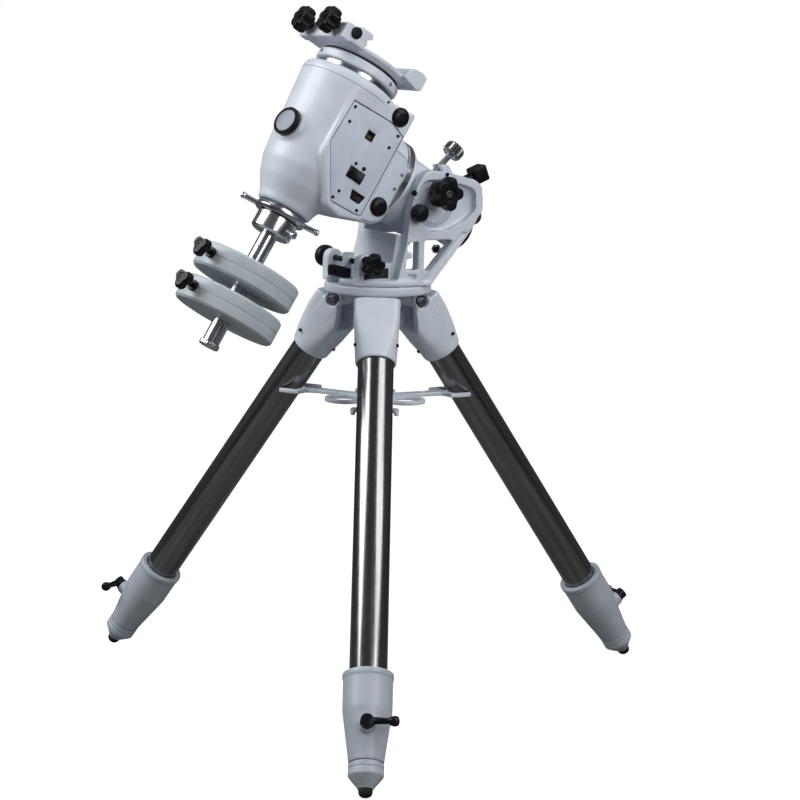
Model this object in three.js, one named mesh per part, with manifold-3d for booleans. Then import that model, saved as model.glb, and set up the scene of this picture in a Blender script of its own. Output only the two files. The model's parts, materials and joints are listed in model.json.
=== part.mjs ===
// An equatorial mount on a three-leg steel tripod: tripod, azimuth and altitude base, polar axis head,
// declination head with its dovetail saddle, and a counterweight bar with two weights.
// Millimetres, +Z up. The polar axis points towards -X and up; the near side, with the panel, is -Y.
import * as THREE from "three";
import { mergeVertices } from "three/addons/utils/BufferGeometryUtils.js";
import Module from "manifold-3d";

const wasm = await Module();
wasm.setup();

// ---- Driving dimensions ----
const GAP = 0.3; // between two separate pieces that touch
const LATITUDE = 31; // tilt of the polar axis, degrees
const SPLAY = 35.5; // a leg from the vertical, degrees
const LEGS = 3;
const HUB_TOP = 617; // height of the tripod head's upper face
const HUB_THICK = 14;
const HUB_R = 78;
const HINGE_R = 58; // distance of a leg's hinge from the tripod's axis
const HINGE_Z = HUB_TOP - 28;
const TIP_R = 9; // rounded foot tip
const TUBE_R = 25.4; // outer leg tube, 2 inch
const TUBE_WALL = 1.5;
const INNER_R = 21.5; // sliding inner leg
const INNER_WALL = 2;
const TRAY_Z = 447; // height of the spreader tray's middle
const TRAY_THICK = 6;
const TRAY_R = 121; // middle of the tray to the back of a fork that straddles a leg
const ROD_R = 5; // centre rod
const PIVOT_X = 54; // altitude axis
const PIVOT_Z = HUB_TOP + 118;
const AXES_GAP = 176; // from the altitude axis to the declination axis, along the polar axis
const ARM_IN = 55; // inner face of a fork arm, from the middle
const ARM_OUT = 73;
const RA_R = 52; // polar housing
const RA_BORE = 20;
const RING_R = 63; // chrome ring between the two housings
const DEC_R = 71; // declination housing's barrel
const FACE_Y = 70; // near face of the declination housing
const COVER_DEPTH = 6; // pocket that the covers sit in
const DEC_BORE = 22;
const WHEEL_R = 44; // declination worm wheel, 180 teeth
const RA_WHEEL_R = 28; // polar worm wheel, 180 teeth
const WORM_R = 7;
const BAR_R = 12.5; // counterweight bar
const WEIGHT_R = 76;
const WEIGHT_THICK = 36;
const WEIGHT_TOPS = [-210, -262]; // upper faces of the two weights on the declination axis
const LOCK_TURN = 196; // where a weight's lock screw enters, degrees round the declination axis
const BAR_END = -340;
const SADDLE_LONG = 128; // along the dovetail
const SADDLE_0 = 114.3; // underside of the saddle on the declination axis
const FLOOR_T = 128; // saddle's floor
const JAW_TOP = 148;
const SCREW_Y = 38; // saddle screws, either side of the middle
const SCREW_Z = 135;
const CAP_TURN = 16; // front cap, towards the near side
const CAP_Z = -14;
const PEG_X = -50; // azimuth peg, which the two azimuth screws bear on
const KNOB_Z = 33; // azimuth screws above the tripod head
const BAR_X = 120; // cross bar between the fork arms
const BAR_Z = 136;
const LOCK_X = 54; // altitude lock knob
const LOCK_Z = 134;
const STOP_X = 19; // altitude stop knob
const STOP_Z = 106;
const UPPER_X = 98; // upper altitude screw
const UPPER_Z = 165;
const UPPER_TILT = 46; // from +Z towards +X, degrees
const LOWER_TILT = 68;
const SWITCH = { x: 39, z: -33, long: 25, high: 15 };
const ROCKER_TILT = 6;
const FINE = 24; // sides of a large round
const MEDIUM = 14;
const COARSE = 8;

// ---- Materials ----
const paint = (color, roughness) => new THREE.MeshStandardMaterial({ color, roughness, metalness: 0 });
const metal = (color, roughness) => new THREE.MeshStandardMaterial({ color, roughness, metalness: 1 });
const WHITE = paint(0xdfe4ea, 0.4);
const WEIGHT_GREY = paint(0xa9b4bf, 0.45);
const BLACK = paint(0x0d0e10, 0.4);
const CHROME = metal(0xd5d9de, 0.12);
const STEEL = metal(0x8f8d88, 0.25);
const BRONZE = metal(0xb08a4a, 0.35);
const BOARD = paint(0x1f5a34, 0.5);
const GLASS_BLACK = paint(0x1a1c20, 0.3);

// ---- Solid helpers: closed geometries that hold positions only ----
const rad = THREE.MathUtils.degToRad;

function bare(geometry) {
  const plain = geometry.clone();
  plain.deleteAttribute("normal");
  plain.deleteAttribute("uv");
  return mergeVertices(plain, 1e-4);
}

function toSolid(geometry) {
  const g = bare(geometry);
  const triVerts = new Uint32Array(g.index.array);
  const vertProperties = new Float32Array(g.attributes.position.array);
  const made = new wasm.Manifold(new wasm.Mesh({ numProp: 3, vertProperties, triVerts }));
  if (made.volume() >= 0) return made;
  for (let i = 0; i < triVerts.length; i += 3) {
    [triVerts[i + 1], triVerts[i + 2]] = [triVerts[i + 2], triVerts[i + 1]];
  }
  return new wasm.Manifold(new wasm.Mesh({ numProp: 3, vertProperties, triVerts }));
}

function toGeometry(solid) {
  const mesh = solid.getMesh();
  const geometry = new THREE.BufferGeometry();
  geometry.setAttribute("position", new THREE.BufferAttribute(new Float32Array(mesh.vertProperties), 3));
  geometry.setIndex(new THREE.BufferAttribute(new Uint32Array(mesh.triVerts), 1));
  return geometry;
}

const join = (...pieces) => toGeometry(pieces.map(toSolid).reduce((a, b) => a.add(b)));
const cut = (base, ...tools) => toGeometry(tools.map(toSolid).reduce((a, b) => a.subtract(b), toSolid(base)));

// A solid of revolution about Z from [radius, z] points that start and end on the axis, or close.
function turned(profile, sides = FINE) {
  const points = profile.map(([r, z]) => new THREE.Vector2(r, z));
  return new THREE.LatheGeometry(points, sides).rotateX(Math.PI / 2);
}

const rod = (r, z0, z1, sides = MEDIUM) => turned([[0, z0], [r, z0], [r, z1], [0, z1]], sides);

function pipe(outer, inner, z0, z1, sides = FINE) {
  return turned([[inner, z0], [outer, z0], [outer, z1], [inner, z1], [inner, z0]], sides);
}

function block(x0, x1, y0, y1, z0, z1) {
  const box = new THREE.BoxGeometry(x1 - x0, y1 - y0, z1 - z0);
  return box.translate((x0 + x1) / 2, (y0 + y1) / 2, (z0 + z1) / 2);
}

// An outline of [x, z] points, or a THREE.Shape, made solid between two values of y.
function slab(outline, y0, y1, curveSegments = COARSE) {
  const points = Array.isArray(outline) ? outline.map(([x, z]) => new THREE.Vector2(x, z)) : null;
  const shape = points ? new THREE.Shape(points) : outline;
  const solid = new THREE.ExtrudeGeometry(shape, { depth: y1 - y0, bevelEnabled: false, curveSegments });
  return solid.rotateX(Math.PI / 2).translate(0, y1, 0);
}

const alongX = (geometry) => geometry.rotateY(Math.PI / 2);
const alongY = (geometry) => geometry.rotateX(-Math.PI / 2);
const at = (geometry, x, y, z) => geometry.translate(x, y, z);

// A round knob with lobes, its axis along Z from z0 to z1.
function lobedKnob(radius, lobes, z0, z1) {
  const body = rod(radius * 0.74, z0, z1, MEDIUM);
  const petals = Array.from({ length: lobes }, (_, k) => {
    const angle = (2 * Math.PI * k) / lobes;
    const reach = radius * 0.72;
    return at(rod(radius * 0.28, z0, z1, COARSE), reach * Math.cos(angle), reach * Math.sin(angle), 0);
  });
  return join(body, ...petals);
}

// A point that lies `along` from `origin` in the direction `angle` of the XZ plane.
const aim = (geometry, angle, x, z) => geometry.rotateY(angle).translate(x, 0, z);

const mount = new THREE.Group();

function add(parent, name, geometry, material) {
  const mesh = new THREE.Mesh(geometry, material);
  mesh.name = name;
  parent.add(mesh);
  return mesh;
}

// ---- Tripod ----
const splay = rad(SPLAY);
const LEG_LONG = (HINGE_Z - TIP_R) / Math.cos(splay); // hinge to the centre of the foot tip
const EAR_IN = 20;
const EAR_OUT = 33;
const EYE_R = 12.5;
const PIN_R = 5;
const CLAMP_TOP = -LEG_LONG + 158;
const CLAMP_BOTTOM = -LEG_LONG + 36;
const SOCKET_TOP = -40;
const INNER_TOP = -200; // upper end of the sliding leg, closed up
const BRACKET_BOTTOM = -95;
const LEVER_Z = -LEG_LONG + 80;
const FRONT_IN = 18; // inner face of the wall that closes a leg bracket in front
const FRONT_OUT = 31;

function tripodHead() {
  const plate = rod(HUB_R, HUB_TOP - HUB_THICK, HUB_TOP, FINE);
  const skirt = turned(
    [[0, HUB_TOP - 30], [30, HUB_TOP - 30], [36, HUB_TOP - HUB_THICK + 1], [0, HUB_TOP - HUB_THICK + 1]],
  );
  const lugs = Array.from({ length: LEGS }, (_, k) => {
    const tongueY = EAR_IN - 0.6;
    const root = block(28, HINGE_R + 10, -tongueY, tongueY, HINGE_Z, HUB_TOP - HUB_THICK + 1);
    const eye = at(alongY(rod(EYE_R - 1.5, -tongueY, tongueY)), HINGE_R, 0, HINGE_Z);
    const pin = at(alongY(rod(PIN_R, -EAR_OUT - 4, EAR_OUT + 4, COARSE)), HINGE_R, 0, HINGE_Z);
    return join(root, eye, pin).rotateZ((2 * Math.PI * k) / LEGS);
  });
  const bore = rod(ROD_R + 0.6, HUB_TOP - 60, HUB_TOP + 1, COARSE);
  const pegHole = at(rod(7.4, HUB_TOP - 9, HUB_TOP + 1), PEG_X, 0, 0);
  return cut(join(plate, skirt, ...lugs), bore, pegHole);
}

function legBracket() {
  const cheek = new THREE.Shape();
  cheek.absarc(0, 0, EYE_R, 0, Math.PI, false);
  cheek.lineTo(-33, -42);
  cheek.lineTo(-33, -60);
  cheek.lineTo(33, -60);
  cheek.lineTo(33, -42);
  cheek.closePath();
  const ears = slab(cheek, -EAR_OUT, EAR_OUT);
  const sleeve = turned([[0, BRACKET_BOTTOM], [34, BRACKET_BOTTOM], [34.5, -60], [33, -44], [0, -44]]);
  const front = block(FRONT_IN - 1, FRONT_OUT, -EAR_OUT, EAR_OUT, -62, -3);
  const slot = block(-40, FRONT_IN, -EAR_IN, EAR_IN, -34, EYE_R + 5);
  const socket = rod(TUBE_R + GAP, BRACKET_BOTTOM - 1, SOCKET_TOP, FINE);
  const pinHole = alongY(rod(PIN_R + 2 * GAP, -EAR_OUT - 1, EAR_OUT + 1, COARSE));
  return cut(join(ears, sleeve, front), slot, socket, pinHole);
}

const legTube = () => pipe(TUBE_R, TUBE_R - TUBE_WALL, CLAMP_BOTTOM + 62, SOCKET_TOP - 1);

function legClamp() {
  const body = turned([
    [0, CLAMP_BOTTOM], [24, CLAMP_BOTTOM], [33, CLAMP_BOTTOM + 72], [33.5, CLAMP_TOP], [0, CLAMP_TOP],
  ]);
  const boss = at(alongX(rod(11, 20, 38)), 0, 0, LEVER_Z);
  const socket = rod(TUBE_R + GAP, CLAMP_BOTTOM + 61, CLAMP_TOP + 1, FINE);
  const guide = rod(INNER_R + GAP, CLAMP_BOTTOM - 1, CLAMP_TOP, FINE);
  const screwHole = at(alongX(rod(4.5, 15, 40, COARSE)), 0, 0, LEVER_Z);
  return cut(join(body, boss), socket, guide, screwHole);
}

function innerLeg() {
  const tip = Array.from({ length: 5 }, (_, k) => {
    const angle = (Math.PI / 2) * (1 - k / 4);
    return [TIP_R * Math.cos(angle), -LEG_LONG - TIP_R * Math.sin(angle)];
  });
  const outside = [
    ...tip, [10.5, CLAMP_BOTTOM - 31], [22, CLAMP_BOTTOM - 20], [23.5, CLAMP_BOTTOM - 18],
    [23.5, CLAMP_BOTTOM - 1], [INNER_R, CLAMP_BOTTOM - 1], [INNER_R, INNER_TOP],
  ];
  const bore = INNER_R - INNER_WALL;
  const inside = [[bore, INNER_TOP], [bore, CLAMP_BOTTOM], [0, CLAMP_BOTTOM]];
  return turned([...outside, ...inside]);
}

function clampLever() {
  const hub = alongX(rod(9, 38.4, 50, MEDIUM));
  const stem = alongX(rod(4, 22.5, 40, COARSE));
  const arm = at(alongY(rod(4.5, 0, 33, COARSE)), 45, 0, 0);
  const ball = at(new THREE.SphereGeometry(7, COARSE, 8), 45, 35, 0);
  return at(join(hub, stem, arm, ball), 0, 0, LEVER_Z);
}

function addLeg(index) {
  const spoke = new THREE.Group();
  spoke.rotation.z = (2 * Math.PI * index) / LEGS;
  const leg = new THREE.Group();
  leg.position.set(HINGE_R, 0, HINGE_Z);
  leg.rotation.y = -splay;
  spoke.add(leg);
  mount.add(spoke);
  const number = index + 1;
  add(leg, "leg_bracket_" + number, legBracket(), WHITE);
  add(leg, "leg_tube_" + number, legTube(), STEEL);
  add(leg, "leg_clamp_" + number, legClamp(), WHITE);
  add(leg, "inner_leg_" + number, innerLeg(), WHITE);
  add(leg, "clamp_lever_" + number, clampLever(), BLACK);
}

const FORK_IN = 27.5; // a tray fork's prong, beside a leg tube
const FORK_OUT = 34;
const FORK_LONG = 26;

function spreaderTray() {
  const z0 = TRAY_Z - TRAY_THICK / 2;
  const z1 = TRAY_Z + TRAY_THICK / 2;
  const pieces = [rod(24, z0, z1)];
  const holes = [rod(ROD_R + 0.6, z0 - 1, z1 + 1, COARSE)];
  for (let k = 0; k < LEGS; k += 1) {
    const arm = (2 * Math.PI * k) / LEGS;
    const loop = arm + Math.PI / LEGS;
    pieces.push(block(0, TRAY_R, -11, 11, z0, z1).rotateZ(arm));
    pieces.push(block(TRAY_R - 12, TRAY_R, -FORK_OUT, FORK_OUT, z0, z1).rotateZ(arm));
    pieces.push(block(TRAY_R - 1, TRAY_R + FORK_LONG, FORK_IN, FORK_OUT, z0, z1).rotateZ(arm));
    pieces.push(block(TRAY_R - 1, TRAY_R + FORK_LONG, -FORK_OUT, -FORK_IN, z0, z1).rotateZ(arm));
    pieces.push(at(rod(30, z0, z1), 50 * Math.cos(loop), 50 * Math.sin(loop), 0));
    holes.push(at(rod(21, z0 - 1, z1 + 1, MEDIUM), 52 * Math.cos(loop), 52 * Math.sin(loop), 0));
    holes.push(at(rod(7, z0 - 1, z1 + 1, COARSE), 84 * Math.cos(arm), 84 * Math.sin(arm), 0));
  }
  return cut(join(...pieces), ...holes);
}

const ROD_BOTTOM = 330;

function centreRod() {
  const nut = rod(9, HUB_TOP - 50, HUB_TOP - 31, 6);
  return join(rod(ROD_R, ROD_BOTTOM, HUB_TOP - 4, COARSE), nut);
}

function trayKnob() {
  const top = TRAY_Z - TRAY_THICK / 2 - GAP;
  const knob = lobedKnob(18, 5, top - 16, top);
  return cut(knob, rod(ROD_R + 0.6, top - 20, top + 1, COARSE));
}

function azimuthPeg() {
  const peg = join(rod(7, HUB_TOP - 8.5, HUB_TOP + 22), rod(8.5, HUB_TOP + 21, HUB_TOP + 44));
  return at(peg, PEG_X, 0, 0);
}

// ---- Azimuth base with its fork; heights from the tripod head's upper face ----
const PIVOT_UP = PIVOT_Z - HUB_TOP;
const BOSS_Y = 46; // azimuth screw bosses
const FLOOR_0 = 0.4;
const FLOOR_1 = 10;
const WALL_TOP = 74; // front wall of the fork, under the polar housing

function armOutline() {
  const arm = new THREE.Shape();
  arm.moveTo(-12, FLOOR_0);
  arm.lineTo(46, FLOOR_0);
  arm.lineTo(110, 76);
  arm.quadraticCurveTo(131, 98, 132, 112);
  arm.lineTo(129, 142);
  arm.quadraticCurveTo(127, 150, 118, 151);
  arm.lineTo(72, 162);
  arm.quadraticCurveTo(36, 166, 22, 146);
  arm.quadraticCurveTo(12, 132, 10, 112);
  arm.closePath();
  return arm;
}

function kidneyOutline() {
  const kidney = new THREE.Shape();
  kidney.absarc(PIVOT_X, PIVOT_UP, 40, Math.PI * 0.93, Math.PI * 1.72, false);
  kidney.quadraticCurveTo(118, 96, 118, 126);
  kidney.quadraticCurveTo(116, 140, 104, 143);
  kidney.lineTo(70, 150);
  kidney.quadraticCurveTo(30, 154, 16, 128);
  kidney.closePath();
  return kidney;
}

function forkArm(side) {
  const y = (a, b) => (side < 0 ? [-b, -a] : [a, b]);
  const plate = slab(armOutline(), ...y(ARM_IN, ARM_OUT));
  const recess = slab(kidneyOutline(), ...y(ARM_OUT - 7, ARM_OUT + 1));
  const window = slab([[4, 24], [24, 24], [24, 64], [8, 62]], ...y(ARM_IN - 1, ARM_OUT + 1));
  const triangle = slab([[34, 22], [44, 22], [82, 66], [34, 66]], ...y(ARM_IN - 1, ARM_OUT + 1));
  return cut(plate, recess, window, triangle);
}

function baseYoke() {
  const plate = rod(HUB_R - 1, FLOOR_0, FLOOR_1, FINE);
  const wallOutline = [[-12, FLOOR_0], [2, FLOOR_0], [4, WALL_TOP], [-3, WALL_TOP], [-8, 40]];
  const wall = slab(wallOutline, -ARM_IN - 1, ARM_IN + 1);
  const bossFoot = (y) => block(PEG_X - 13, PEG_X + 40, y - 8, y + 8, FLOOR_0, KNOB_Z + 4);
  const boss = (y) => at(alongY(rod(13, y - 8, y + 8)), PEG_X, 0, KNOB_Z);
  const bar = at(alongY(rod(8, -ARM_IN - 1, ARM_IN + 1)), BAR_X, 0, BAR_Z);
  const lugOutline = [[BAR_X - 6, BAR_Z + 4], [BAR_X + 5, BAR_Z + 6], [108, 170], [93, 170], [97, 162]];
  const lug = slab(lugOutline, -13, 13);
  const bosses = [bossFoot(-BOSS_Y), bossFoot(BOSS_Y), boss(-BOSS_Y), boss(BOSS_Y)];
  const body = join(plate, wall, forkArm(-1), forkArm(1), ...bosses, bar, lug);
  const screwHole = at(alongY(rod(4.5, -70, 70, COARSE)), PEG_X, 0, KNOB_Z);
  const pegSlot = block(PEG_X - 40, PEG_X + 11, -18, 18, -1, KNOB_Z + 30);
  const floorHole = rod(26, -1, FLOOR_1 + 1);
  const pinHoles = alongY(rod(9 + GAP, -67, 67)).translate(PIVOT_X, 0, PIVOT_UP);
  const lockHole = at(alongY(rod(4.5, -80, -50, COARSE)), LOCK_X, 0, LOCK_Z);
  const stopHole = at(alongY(rod(4.5, -80, -50, COARSE)), STOP_X, 0, STOP_Z);
  const upper = aim(rod(5.5, -30, 30, COARSE), rad(UPPER_TILT), UPPER_X, UPPER_Z);
  const lower = aim(rod(5.5, -14, 22, COARSE), rad(LOWER_TILT), BAR_X, BAR_Z);
  return cut(body, screwHole, pegSlot, floorHole, pinHoles, lockHole, stopHole, upper, lower)
    .translate(0, 0, HUB_TOP);
}

// The near screw's knob is lobed; the far one is a plain round knob.
function azimuthKnob(side) {
  const stem = rod(4, 9.5, 63, COARSE);
  const head = side < 0 ? lobedKnob(17, 5, 62, 81) : rod(16, 62, 77);
  const upright = join(stem, head);
  return at(side < 0 ? upright.rotateX(Math.PI / 2) : alongY(upright), PEG_X, 0, HUB_TOP + KNOB_Z);
}

function altitudeLockKnob() {
  const knob = join(lobedKnob(25, 5, 83, 106), rod(4, 56.5, 84, COARSE), rod(11, 67, 84));
  return at(knob.rotateX(Math.PI / 2), LOCK_X, 0, HUB_TOP + LOCK_Z);
}

function altitudeStopKnob() {
  const knob = join(rod(13, 74, 92), rod(4, 56.5, 75, COARSE));
  return at(knob.rotateX(Math.PI / 2), STOP_X, 0, HUB_TOP + STOP_Z);
}

function altitudeScrewUpper() {
  const screw = join(rod(4.8, -9, 27, COARSE), lobedKnob(15, 8, 26, 44));
  return aim(screw, rad(UPPER_TILT), UPPER_X, HUB_TOP + UPPER_Z);
}

function altitudeScrewLower() {
  const screw = join(rod(4.8, -9, 40, COARSE), rod(7, 24, 40, COARSE), block(-12, 12, -12, 12, 39, 62));
  return aim(screw, rad(LOWER_TILT), BAR_X, HUB_TOP + BAR_Z);
}

// ---- Polar axis head: +Z of this group is the polar axis, its origin is on the altitude axis ----
const latitude = rad(LATITUDE);
const polar = new THREE.Group();
polar.position.set(PIVOT_X, 0, PIVOT_Z);
polar.rotation.y = latitude - Math.PI / 2;

const CHAMBER_Z = 20;
const FLANGE_Z = 52;
const RA_WORM_X = -(RA_WHEEL_R + WORM_R + GAP);

function raHousing() {
  const shell = turned([
    [0, -96], [28, -96], [28, -42], [RA_R, -10], [RA_R, 44], [60, 46], [60, FLANGE_Z], [0, FLANGE_Z],
  ]);
  const flats = alongY(rod(38, -53.5, 53.5, FINE));
  const pins = alongY(rod(9, -65, 65));
  const chamber = rod(47, CHAMBER_Z, FLANGE_Z + 1, FINE);
  const bore = rod(RA_BORE + GAP, -100, CHAMBER_Z + 1, FINE);
  const motorBay = at(alongY(rod(10, -24, 24)), -36, 0, -2);
  const bayDoor = block(-38, -28, -20, 20, -6, CHAMBER_Z + 1);
  return cut(join(shell, flats, pins), chamber, bore, motorBay, bayDoor);
}

const raRing = () => pipe(RING_R, 36, FLANGE_Z + GAP, 64, FINE);

function raShaft() {
  return turned([
    [12, -94], [RA_BORE, -94], [RA_BORE, 72.5], [34, 72.5], [34, 78], [12, 78], [12, -94],
  ]);
}

const wormWheel = (r, bore, z0, z1) => pipe(r, bore, z0, z1, FINE);

// A worm with its thread drawn as plain grooves.
function worm(length) {
  const turns = 8;
  const pitch = (length - 16) / turns;
  const thread = [];
  for (let k = 0; k < turns; k += 1) {
    const z = -length / 2 + 8 + k * pitch;
    thread.push([WORM_R - 1.5, z], [WORM_R, z + pitch / 2]);
  }
  const half = length / 2;
  const lower = [[0, -half], [3.5, -half], [3.5, 8 - half]];
  const upper = [[3.5, half - 8], [3.5, half], [0, half]];
  return turned([...lower, ...thread, ...upper], COARSE);
}

const polarScope = () => turned([[0, -92], [11, -92], [11, 20], [8, 24], [8, 60], [0, 60]], MEDIUM);
const polarScopeCap = () => turned([[0, -102], [24, -102], [26, -100], [26, -96.3], [0, -96.3]]);

function addPolarHead() {
  mount.add(polar);
  add(polar, "ra_housing", raHousing(), WHITE);
  add(polar, "ra_ring", raRing(), CHROME);
  add(polar, "ra_shaft", raShaft(), STEEL);
  add(polar, "ra_worm_wheel", wormWheel(RA_WHEEL_R, RA_BORE + GAP, 24, 38), BRONZE);
  add(polar, "ra_worm", at(alongY(worm(36)), RA_WORM_X, 0, 31), STEEL);
  add(polar, "ra_motor", at(alongY(rod(9.5, -23, 23)), -36, 0, -2), GLASS_BLACK);
  add(polar, "polar_scope", polarScope(), BLACK);
  add(polar, "polar_scope_cap", polarScopeCap(), BLACK);
}

// ---- Declination head: +Z is the declination axis, +X points back along the polar axis ----
const dec = new THREE.Group();
dec.position.set(PIVOT_X - AXES_GAP * Math.cos(latitude), 0, PIVOT_Z + AXES_GAP * Math.sin(latitude));
dec.rotation.y = latitude;

const RA_FACE = AXES_GAP - 64 - GAP; // where the housing meets the chrome ring
const FACE_OUTLINE = [
  [-26, 77], [80, 88], [80, 34], [98, 31], [RA_FACE, 20], [RA_FACE, -66], [100, -78], [46, -96], [20, -92],
  [-25, -34],
];
const PANEL = [[-17, 53], [51, 58], [76, 50], [76, -76], [66, -79], [24, -82], [-20, -13]];
const SIDE_PANEL = [[80, 30], [97, 28], [RA_FACE - 3, 18], [RA_FACE - 3, -64], [98, -75], [80, -80]];

// An outline moved inwards towards a point by a share of its size.
function shrunk(outline, cx, cz, share) {
  return outline.map(([x, z]) => [cx + (x - cx) * share, cz + (z - cz) * share]);
}

function decHousing() {
  const barrel = turned([
    [0, -118], [40, -118], [44, -104], [56, -82], [64, -58], [66, -30], [68, 10], [DEC_R, 50], [73, 78],
    [71, 88], [60, 91], [0, 91],
  ]);
  const box = slab(FACE_OUTLINE, -FACE_Y, 50);
  const flange = alongX(rod(RING_R, 60, RA_FACE, FINE));
  const wheelRoom = rod(54, -44, 74, FINE);
  const neck = rod(30, 73, 92, MEDIUM);
  const bore = rod(DEC_BORE + GAP, -120, 0, FINE);
  const bay = slab([[10, 66], [74, 70], [74, 26], [104, 22], [104, -62], [48, -84], [20, -76]], -58, 42);
  const door = slab(shrunk(PANEL, 29, -12, 0.86), -FACE_Y - 1, -56);
  const pocket = slab(shrunk(PANEL, 29, -12, 1.008), -FACE_Y - 1, -FACE_Y + COVER_DEPTH);
  const sidePocket = slab(shrunk(SIDE_PANEL, 95, -25, 1.015), -FACE_Y - 1, -FACE_Y + COVER_DEPTH);
  const polarBore = alongX(rod(RA_BORE + GAP, 90, RA_FACE + 1, FINE));
  const polarRoom = alongX(rod(38, 66, 103.8, FINE));
  const rooms = [wheelRoom, neck, bore, bay, door, pocket, sidePocket, polarBore, polarRoom];
  return cut(join(barrel, box, flange, capBoss()), ...rooms);
}

function decCover() {
  const plate = slab(PANEL, -FACE_Y + 0.6, -FACE_Y + COVER_DEPTH - GAP);
  const { x, z, long, high } = SWITCH;
  const halfLong = long / 2 + 1;
  const halfHigh = high / 2 + 1;
  return cut(plate, block(x - halfLong, x + halfLong, -FACE_Y - 2, -50, z - halfHigh, z + halfHigh));
}

function decSideCover() {
  const plate = slab(SIDE_PANEL, -FACE_Y + 0.3, -FACE_Y + COVER_DEPTH - GAP);
  return join(plate, at(alongY(rod(12.5, -FACE_Y - 3, -FACE_Y + 3)), 95, 0, -52));
}

// The rocker's face is a shallow V, and one end is pressed in.
function powerSwitch() {
  const { x, z, long, high } = SWITCH;
  const face = -FACE_Y - 1;
  const half = long / 2;
  const rocker = new THREE.Shape();
  rocker.moveTo(-half, face - 1.5);
  rocker.lineTo(0, face);
  rocker.lineTo(half, face - 1.5);
  rocker.lineTo(half - 2, face + 8);
  rocker.lineTo(2 - half, face + 8);
  rocker.closePath();
  const solid = new THREE.ExtrudeGeometry(rocker, { depth: high, bevelEnabled: false });
  solid.translate(0, FACE_Y - 4, 0).rotateZ(rad(-ROCKER_TILT));
  return at(solid, x, 4 - FACE_Y, z - high / 2);
}

// A round cap on a short boss, on the side that faces the pole.
function frontCap() {
  const cap = turned([[0, 68], [20, 68], [21, 70], [21, 76], [18, 77.5], [0, 77.5]]);
  return at(alongX(cap).rotateZ(Math.PI).rotateZ(rad(CAP_TURN)), 0, 0, CAP_Z);
}

function capBoss() {
  const boss = rod(24, 50, 67.7, MEDIUM);
  return at(alongX(boss).rotateZ(Math.PI).rotateZ(rad(CAP_TURN)), 0, 0, CAP_Z);
}

function decShaft() {
  return turned([
    [BAR_R + 1, -148], [DEC_BORE, -148], [DEC_BORE, 92], [40, 92.5], [40, 99], [14, 99], [14, -60],
    [BAR_R + 1, -60], [BAR_R + 1, -148],
  ]);
}

function clutchRing() {
  const ring = turned([[27, -131], [37, -131], [39, -126], [37, -120.5], [27, -120.5], [27, -131]]);
  const lever = () => at(alongX(rod(4.5, 34, 62, COARSE)), 0, 0, -126);
  const hub = join(ring, lever().rotateZ(rad(150)), lever().rotateZ(rad(-40)));
  return hub;
}

function shaftCollar() {
  const body = turned([
    [DEC_BORE + GAP, -149], [BAR_R + GAP, -150.5], [BAR_R + GAP, -158], [28, -158], [30, -155], [30, -132],
    [26, -131.5], [26, -120.5], [DEC_BORE + GAP, -120.5], [DEC_BORE + GAP, -149],
  ]);
  const peg = at(alongX(rod(4, 26, 40, COARSE)), 0, 0, -146).rotateZ(rad(-60));
  return join(body, peg);
}

const counterweightShaft = () => rod(BAR_R, BAR_END + 8, -62, MEDIUM);

function shaftEndCap() {
  const top = BAR_END + 7.7;
  return turned([[0, BAR_END], [14, BAR_END], [15, BAR_END + 2], [15, top], [0, top]]);
}

function counterweight(top) {
  const bottom = top - WEIGHT_THICK;
  const round = 2;
  const disc = turned([
    [BAR_R + 0.5, bottom], [WEIGHT_R - round, bottom], [WEIGHT_R, bottom + round], [WEIGHT_R, top - round],
    [WEIGHT_R - round, top], [BAR_R + 0.5, top], [BAR_R + 0.5, bottom],
  ]);
  const hole = at(alongX(rod(4.5, 10, WEIGHT_R + 2, COARSE)), 0, 0, top - WEIGHT_THICK / 2);
  return cut(disc, hole.rotateZ(rad(LOCK_TURN)));
}

function weightKnob(top) {
  const stem = rod(4, 14, WEIGHT_R + 19, COARSE);
  const collar = rod(8, WEIGHT_R + 0.6, WEIGHT_R + 6, COARSE);
  const knob = join(stem, collar, lobedKnob(15, 3, WEIGHT_R + 18, WEIGHT_R + 30));
  return at(alongX(knob), 0, 0, top - WEIGHT_THICK / 2).rotateZ(rad(LOCK_TURN));
}

// ---- Saddle: its channel runs along Y, its clamp screws point towards the pole ----
function saddleDisc() {
  const bottom = 99.3;
  const top = SADDLE_0 - GAP;
  return turned([
    [14, bottom], [62, bottom], [63, bottom + 2], [63, top - 4], [58, top], [14, top], [14, bottom],
  ]);
}

function saddleBase() {
  const half = SADDLE_LONG / 2;
  const disc = rod(56, SADDLE_0, FLOOR_T, FINE);
  const bed = block(-80, 58, -half, half, SADDLE_0 + 3, FLOOR_T);
  const jawOutline = [[36, FLOOR_T - 1], [70, FLOOR_T - 8], [70, 143], [60, 146], [45, 144], [39, 137]];
  const southJaw = slab(jawOutline, -half, half);
  const northWall = block(-80, -65, -half, half, SADDLE_0 + 3, 143);
  const solid = join(disc, bed, southJaw, northWall);
  const screw = (y) => at(alongX(rod(5, -90, -56, COARSE)), 0, y, SCREW_Z);
  return cut(solid, screw(-SCREW_Y), screw(SCREW_Y), rod(11, SADDLE_0 - 1, FLOOR_T + 1, MEDIUM));
}

function saddleJaw() {
  const half = SADDLE_LONG / 2 - 4;
  const floor = FLOOR_T + GAP;
  const outline = [[-57, floor], [-36, floor], [-40, 137], [-32, 142], [-36, JAW_TOP], [-57, JAW_TOP]];
  return slab(outline, -half, half);
}

function saddleKnob(y) {
  const knob = join(rod(4.5, -57.6, -88, COARSE), lobedKnob(19.5, 7, -87, -106));
  return at(alongX(knob), 0, y, SCREW_Z);
}

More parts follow.
